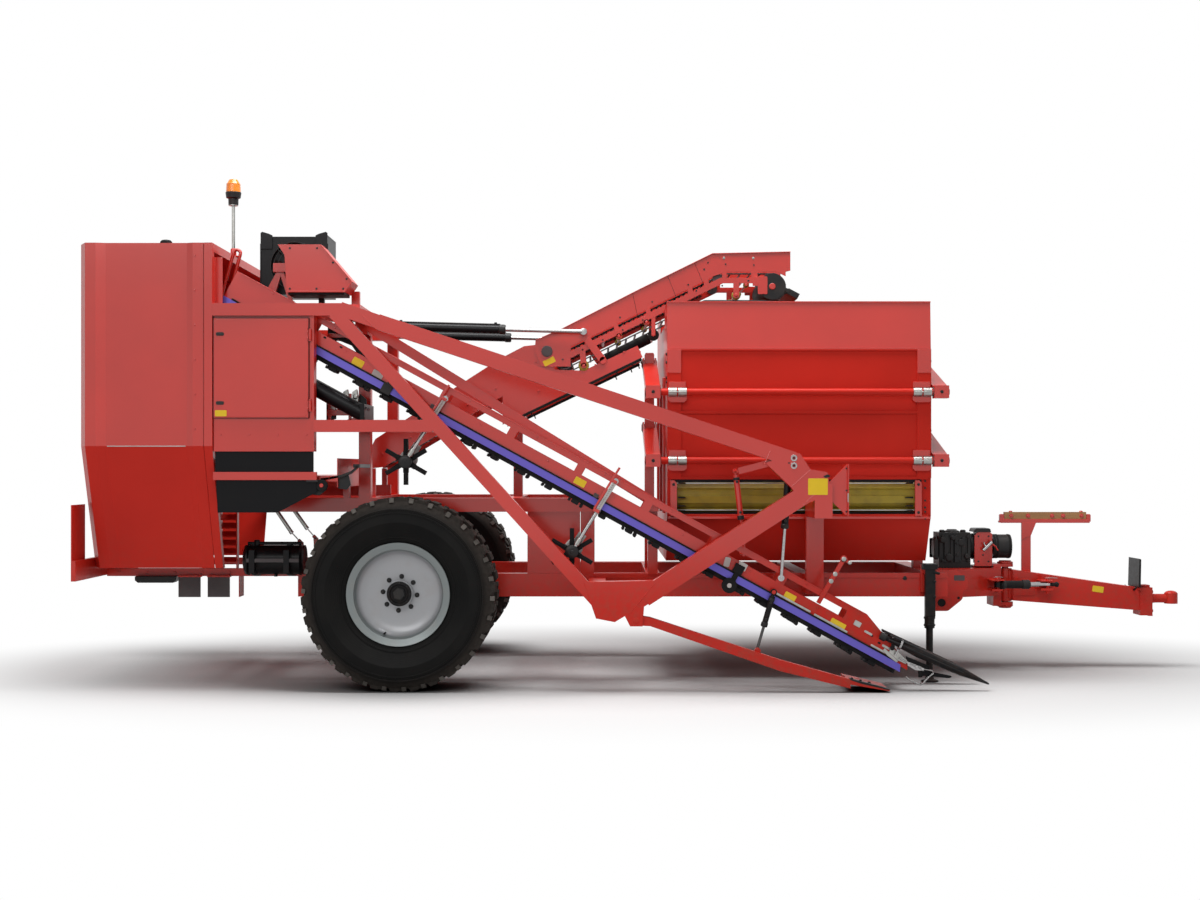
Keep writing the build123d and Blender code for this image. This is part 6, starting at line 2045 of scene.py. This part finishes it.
        weld.plate([(3.715, 0.636), (3.793, 0.636), (3.793, 0.619), (3.715, 0.619)], -0.05, 0.05)
        weld.plate([(3.77, 0.402), (3.801, 0.402), (3.801, 0.41), (3.77, 0.41)], -0.094, 0.094)
        weld.piece("drawbar_welds", RED, "drawbar", bevel=0.001)
        ball = Form()
        ball.lathe((3.971, 0.0, 0.567), (3.971, 0.0, 2.0),
                   [(0.0, 0.049), (0.008, 0.046), (0.016, 0.036), (0.021, 0.02), (0.023, 0.006)],
                   32)
        ball.lathe((3.801, 0.0, 0.531), (4.5, 0.0, 0.531),
                   [(0.0, 0.048), (0.01, 0.044), (0.03, 0.036), (0.09, 0.03)], 28)
        ball.piece("coupling_crown", RED, "drawbar")

    def head(self) -> None:
        """Slanted head plate with dark discs as painted shade for its holes, the boss round the
        large one, frame bolts and sills.
        """
        y0, y1 = -0.386, -0.376
        plate = Form().plate([(2.0, 0.772), (2.24, 0.772), (2.33, 0.7), (2.33, 0.64), (2.29, 0.61),
                              (2.288, 0.562),
                               (2.276, 0.545), (2.184, 0.47), (2.168, 0.465), (2.024, 0.465),
                               (2.01, 0.48)], y0, y1)
        plate.box((2.02, 2.08), (-0.7, y1), (0.615, 0.76))
        plate.piece("head_plate", RED, "chassis", bevel=0.002)
        # Dark discs on the plate: painted shade standing in for its holes.
        hole = Form().stud((2.129, y0 - 0.0008, 0.527), [(0.0, 0.03), (0.002, 0.03)], 32)
        hole.stud((2.256, y0 - 0.0008, 0.563), [(0.0, 0.01), (0.002, 0.01)], 16)
        hole.piece("head_holes", RUBBER, "chassis")
        ring = Form().stud((2.129, y0 - 0.004, 0.527),
                           [(0.0, 0.031), (0.0, 0.037), (0.005, 0.037), (0.005, 0.031)], 36, True)
        ring.piece("head_boss", RED, "chassis")
        bolts("frame_bolts", "chassis", CAST,
              [single((1.78, BEAM_FACE, 0.742), OUT, 0.026),
               single((0.93, BEAM_FACE, 0.742), OUT, 0.022),
                                               single((-0.33, -1.412, 0.69), OUT, 0.022)])
        sill = Form()
        sill.box((1.17, 2.085), (-0.806, -0.796), (0.738, 0.776))
        sill.box((-0.46, 1.035), (-0.806, -0.796), (0.738, 0.776))
        sill.piece("frame_sills", RED, "chassis", bevel=0.003)

    def jack(self) -> None:
        """Collar, side plates, locking pins and foot of the parking jack."""
        x, y = 1.944, -0.875
        dark = Form()
        dark.box((x - 0.052, x + 0.052), (y - 0.04, y + 0.07), (0.806, 0.846))
        dark.plate([(x - 0.036, 0.806), (x + 0.036, 0.806), (x + 0.036, 0.47), (x - 0.036, 0.47)],
                   y - 0.0375, y - 0.02)
        for z in (0.4, 0.452):
            dark.lathe((x, y, z), (x, y, z + 1),
                       [(0.0, 0.0365), (0.0, 0.041), (0.014, 0.041), (0.014, 0.0365)], 28, True)
        for z in (0.786, 0.72, 0.61):
            dark.rod((x + 0.03, y - 0.046, z), (x + 0.03, y - 0.02, z), 0.01, 12, 0.002)
        dark.lathe((x + 0.03, y - 0.03, 0.785), (x + 0.1, y - 0.03, 0.77),
                   [(0.0, 0.01), (0.034, 0.01), (0.04, 0.006)], 12)
        dark.piece("jack_fittings", BLACK, "chassis", bevel=0.002)
        foot = Form().lathe((x, y, 0.012), (x, y, 1.0),
                            [(0.0, 0.06), (0.003, 0.056), (0.01, 0.034), (0.03, 0.029)], 32)
        foot.piece("jack_foot", BLACK, "jack")

    def dress(self) -> None:
        """Builds the front's pieces."""
        self.pump()
        self.hose_rest()
        self.drawbar()
        self.head()
        self.jack()


@dataclass
class FoldCylinders:
    """Fittings of the two fold cylinders and of the steering cylinder."""

    y: float = 0.4
    eyes: tuple[Flat, Flat] = ((-1.994, 2.587), (-0.543, 2.55))
    radius: float = 0.032
    share: float = 0.6

    def dress(self) -> None:
        """Builds the cylinders' pieces."""
        form, bright = Form(), Form()
        for side in (-1, 1):
            a = Vector((self.eyes[0][0], side * self.y, self.eyes[0][1]))
            b = Vector((self.eyes[1][0], side * self.y, self.eyes[1][1]))
            way = (b - a).normalized()
            end = a.lerp(b, self.share)
            r = self.radius
            form.lathe(end - way * 0.05, end,
                       [(0.0, r + 0.001), (0.004, r + 0.005), (0.042, r + 0.005),
                        (0.048, r + 0.001)], 32)
            form.lathe(a + way * 0.05, end,
                       [(0.0, r + 0.001), (0.004, r + 0.004), (0.022, r + 0.004),
                        (0.026, r + 0.001)], 32)
            form.rod(a + way * 0.09 + Vector((0, 0, r + 0.005)),
                     end - way * 0.04 + Vector((0, 0, r + 0.005)), 0.006, 10)
            for at in (0.09, (end - a).length - 0.075):
                seat = a + way * at
                form.lathe(seat + Vector((0, 0, r - 0.004)), seat + Vector((0, 0, 1)),
                           [(0.0, 0.012), (0.02, 0.012), (0.024, 0.008)], 6)
        form.piece("fold_glands", CAST, "fold_cylinder_barrels")
        for side in (-1, 1):
            b = Vector((self.eyes[1][0], side * self.y, self.eyes[1][1]))
            bright.lathe(b + Vector((0, 0.012 * side, 0)), b,
                         [(0.0, 0.01), (0.002, 0.0255), (0.004, 0.0255)], 24)
        bright.piece("fold_rod_eyes", CHROME, "fold_cylinder_rods")
        p, q = Vector((*STEER_ROOT, 0.652)), Vector((*STEER_EYE, 0.652))
        way = (q - p).normalized()
        steer = Form()
        steer.lathe(p + way * 0.19, q,
                    [(0.0, 0.031), (0.003, 0.0345), (0.052, 0.0345), (0.058, 0.026)], 32)
        steer.lathe(p + way * 0.03, q,
                    [(0.0, 0.022), (0.004, 0.0335), (0.024, 0.0335), (0.03, 0.031)], 32)
        steer.piece("steer_glands", CAST, "steer_cylinder_barrel")


LABELS = (
    Patch("label_door", "door", LABEL, (-3.002, 1.906), (0.08, 0.042), 0.0, -1.4945),
    Patch("label_unit_top", "lifting_unit", LABEL, (-2.091, 2.262), (0.082, 0.052), -UNIT_ANGLE,
          UNIT_SIDES[0]),
    Patch("label_unit_middle", "lifting_unit", LABEL, (-0.558, 1.436), (0.084, 0.05), -UNIT_ANGLE,
          UNIT_SIDES[0]),
    Patch("label_unit_low", "lifting_unit", LABEL, (0.892, 0.644), (0.084, 0.046), -UNIT_ANGLE,
          UNIT_SIDES[0]),
    Patch("label_unit_nose", "lifting_unit", LABEL, (1.222, 0.452), (0.112, 0.05), -UNIT_ANGLE,
          UNIT_SIDES[0]),
    Patch("label_head", "elevator_head", LABEL, (-0.8, 2.33), (0.09, 0.044), 26.0, -ELEVATOR_SIDE),
    Patch("label_truss", "chassis", LABEL, (1.063, 1.406), (0.134, 0.112), 0.0, TRUSS_FACE),
    Patch("label_drawbar", "drawbar", LABEL, (3.387, 0.606), (0.086, 0.046), -8.2, -0.08),
    Patch("splice_plate", "lifting_unit", PALE, (-1.96, 2.17), (0.078, 0.066), -UNIT_ANGLE,
          UNIT_SIDES[0], 0.003),
    Patch("blank_plate", "chassis", FLAP, (2.262, 0.712), (0.08, 0.04), 0.0, -0.386, 0.002),
)


@dataclass
class Bodywork:
    """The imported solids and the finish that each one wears."""

    nodes: dict[str, bpy.types.Object]
    plan: dict[Finish, tuple[str, ...]] = field(default_factory=lambda: {
        RED: ("main_frame", "upper_frame", "hopper_posts", "side_truss", "rear_hood",
              "rear_carrier", "cabinet",
              "cabinet_door", "curtain_rail", "cross_conveyor", "lifter_frame", "share_arm",
              "elevator_base",
              "elevator_head", "fold_brackets", "arms_upper", "arms_lower", "top_housing",
              "oil_tank", "drawbar", "coupling", "strut_tube", "strut_rod"),
        BUNKER: ("hopper_shell",),
        ZINC: ("beacon_post",),
        BLACK: ("axle", "topper", "cooler", "valve_case", "lift_barrel", "depth_barrel",
                "fold_barrels",
                "steer_barrel", "jack_tube", "jack_leg", "crop_lifters"),
        VIOLET: ("lifter_guards",),
        TYRE: ("tyre_right", "tyre_left"),
        RIM: ("rim_right", "rim_left"),
        CURTAIN: ("side_curtains",),
        RUBBER: ("lifter_belts", "star_upper", "star_lower", "head_rollers"),
        CHROME: ("star_hangers", "lift_rod", "fold_rods", "steer_rod"),
        WEB: ("depth_rod", "base_web", "head_web", "base_rollers"),
        STEEL: ("input_shaft",),
        SLAT: ("hopper_floor",),
        AMBER: ("beacon_lens",),
        TIMBER: ("hose_plank",),
        CAST: ("pump_drive",),
    })

    def dress(self) -> None:
        """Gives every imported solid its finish."""
        for finish, names in self.plan.items():
            for name in names:
                solid = self.nodes[name]
                solid.data.materials.clear()
                solid.data.materials.append(finish.material())
                log.info("%s wears %s", name, finish.name)
        bare = sorted(set(self.nodes) - {name for names in self.plan.values() for name in names})
        if bare:
            log.warning("no finish for %s", bare)


@dataclass
class Studio:
    """Camera, lamps, floor and world."""

    eye: Point = (-0.42, -13.0, 1.54)
    focal: float = 50.7
    rise: float = 17 / 1200
    lamp_top: float = 900.0
    lamp_front: float = 330.0
    world_fill: float = 0.2
    floor_tone: float = 0.68
    # Reach of the painted contact shade on the floor, in metres.
    contact: float = 1.1
    dark_reach: float = 2.0
    white_reach: float = 3.8

    def camera(self) -> None:
        """Level camera square to the machine's right side."""
        data = bpy.data.cameras.new("studio_camera")
        data.lens, data.sensor_width, data.shift_y = self.focal, 36.0, self.rise
        data.clip_end = 200.0
        made = bpy.data.objects.new("studio_camera", data)
        made.location = self.eye
        made.rotation_euler = (math.pi / 2, 0.0, 0.0)
        bpy.context.scene.collection.objects.link(made)
        bpy.context.scene.camera = made

    def lamp(self, name: str, at: Point, aim: Point, size: Flat, power: float) -> None:
        """One soft box.

        Args:
            name: the lamp's name.
            at: its place.
            aim: the point that it faces.
            size: its width and height.
            power: its strength in watts.
        """
        data = bpy.data.lights.new(name, "AREA")
        data.shape, data.size, data.size_y, data.energy = "RECTANGLE", size[0], size[1], power
        made = bpy.data.objects.new(name, data)
        made.location = at
        made.rotation_euler = (Vector(aim) - Vector(at)).to_track_quat("-Z", "Y").to_euler()
        made.visible_camera = False
        bpy.context.scene.collection.objects.link(made)

    def floor(self) -> None:
        """Pale floor that keeps the machine's shadow, adds painted contact shade near it, and runs
        out to white.
        """
        mesh = bmesh.new()
        bmesh.ops.create_grid(mesh, x_segments=1, y_segments=1, size=60.0)
        data = bpy.data.meshes.new("studio_floor")
        mesh.to_mesh(data)
        mesh.free()
        made = bpy.data.objects.new("studio_floor", data)
        bpy.context.scene.collection.objects.link(made)
        shader = Shader(bpy.data.materials.new("studio_floor"))
        across = shader.axis("X") * 0.62
        along = shader.axis("Y")
        reach = (across * across + along * along) ** 0.5
        middle = (self.dark_reach + self.white_reach) / 2
        far = reach.above(middle, (self.white_reach - self.dark_reach) / 2)
        # Ambient occlusion darkens the floor's colour near the machine: painted contact shade on
        # top of the real shadow.
        near = shader.node("ShaderNodeAmbientOcclusion", {"samples": 8},
                           {"Color": (self.floor_tone,) * 3, "Distance": self.contact}, "Color")
        lit = shader.node("ShaderNodeBsdfDiffuse", None, {"Color": near})
        white = shader.node("ShaderNodeEmission", None, {"Color": (1.0, 1.0, 1.0), "Strength": 1.0})
        shader.close(shader.node("ShaderNodeMixShader", None,
                                 {0: far * shader.shown(), 1: lit, 2: white}))
        data.materials.append(shader.owner)

    def world(self) -> None:
        """White to the camera and in reflections, a softer fill on everything else."""
        made = bpy.data.worlds.new("studio_world")
        bpy.context.scene.world = made
        shader = Shader(made)
        white = (1.0, 1.0, 1.0)
        fill = shader.node("ShaderNodeBackground", None,
                           {"Color": white, "Strength": self.world_fill})
        bright = shader.node("ShaderNodeBackground", None, {"Color": white, "Strength": 1.0})
        both = shader.node("ShaderNodeMixShader", None, {0: shader.shown(), 1: fill, 2: bright})
        shader.close(both, "ShaderNodeOutputWorld")

    def build(self) -> None:
        """Sets the whole studio up."""
        self.camera()
        self.floor()
        self.world()
        self.lamp("top_box", (-0.5, -1.5, 8.5), (0.0, 0.0, 1.0), (7.0, 3.4), self.lamp_top)
        self.lamp("front_box", (-4.0, -10.0, 6.5), (0.0, -0.5, 1.2), (8.0, 4.0), self.lamp_front)
        bpy.context.scene.view_settings.view_transform = "Standard"


def main() -> None:
    """Builds the harvester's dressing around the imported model."""
    logging.basicConfig(level=logging.INFO, format="%(name)s %(message)s")
    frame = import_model()
    Studio().build()
    Bodywork(frame["nodes"]).dress()
    for side in Side:
        Wheel(side).dress()
    for assembly in (Hood(), Door(), TopGear(), LiftingUnit(), SideTruss(), Elevator(), Bunker(),
                     Front(), FoldCylinders()):
        assembly.dress()
    patches(LABELS)


if __name__ == "__main__":
    main()
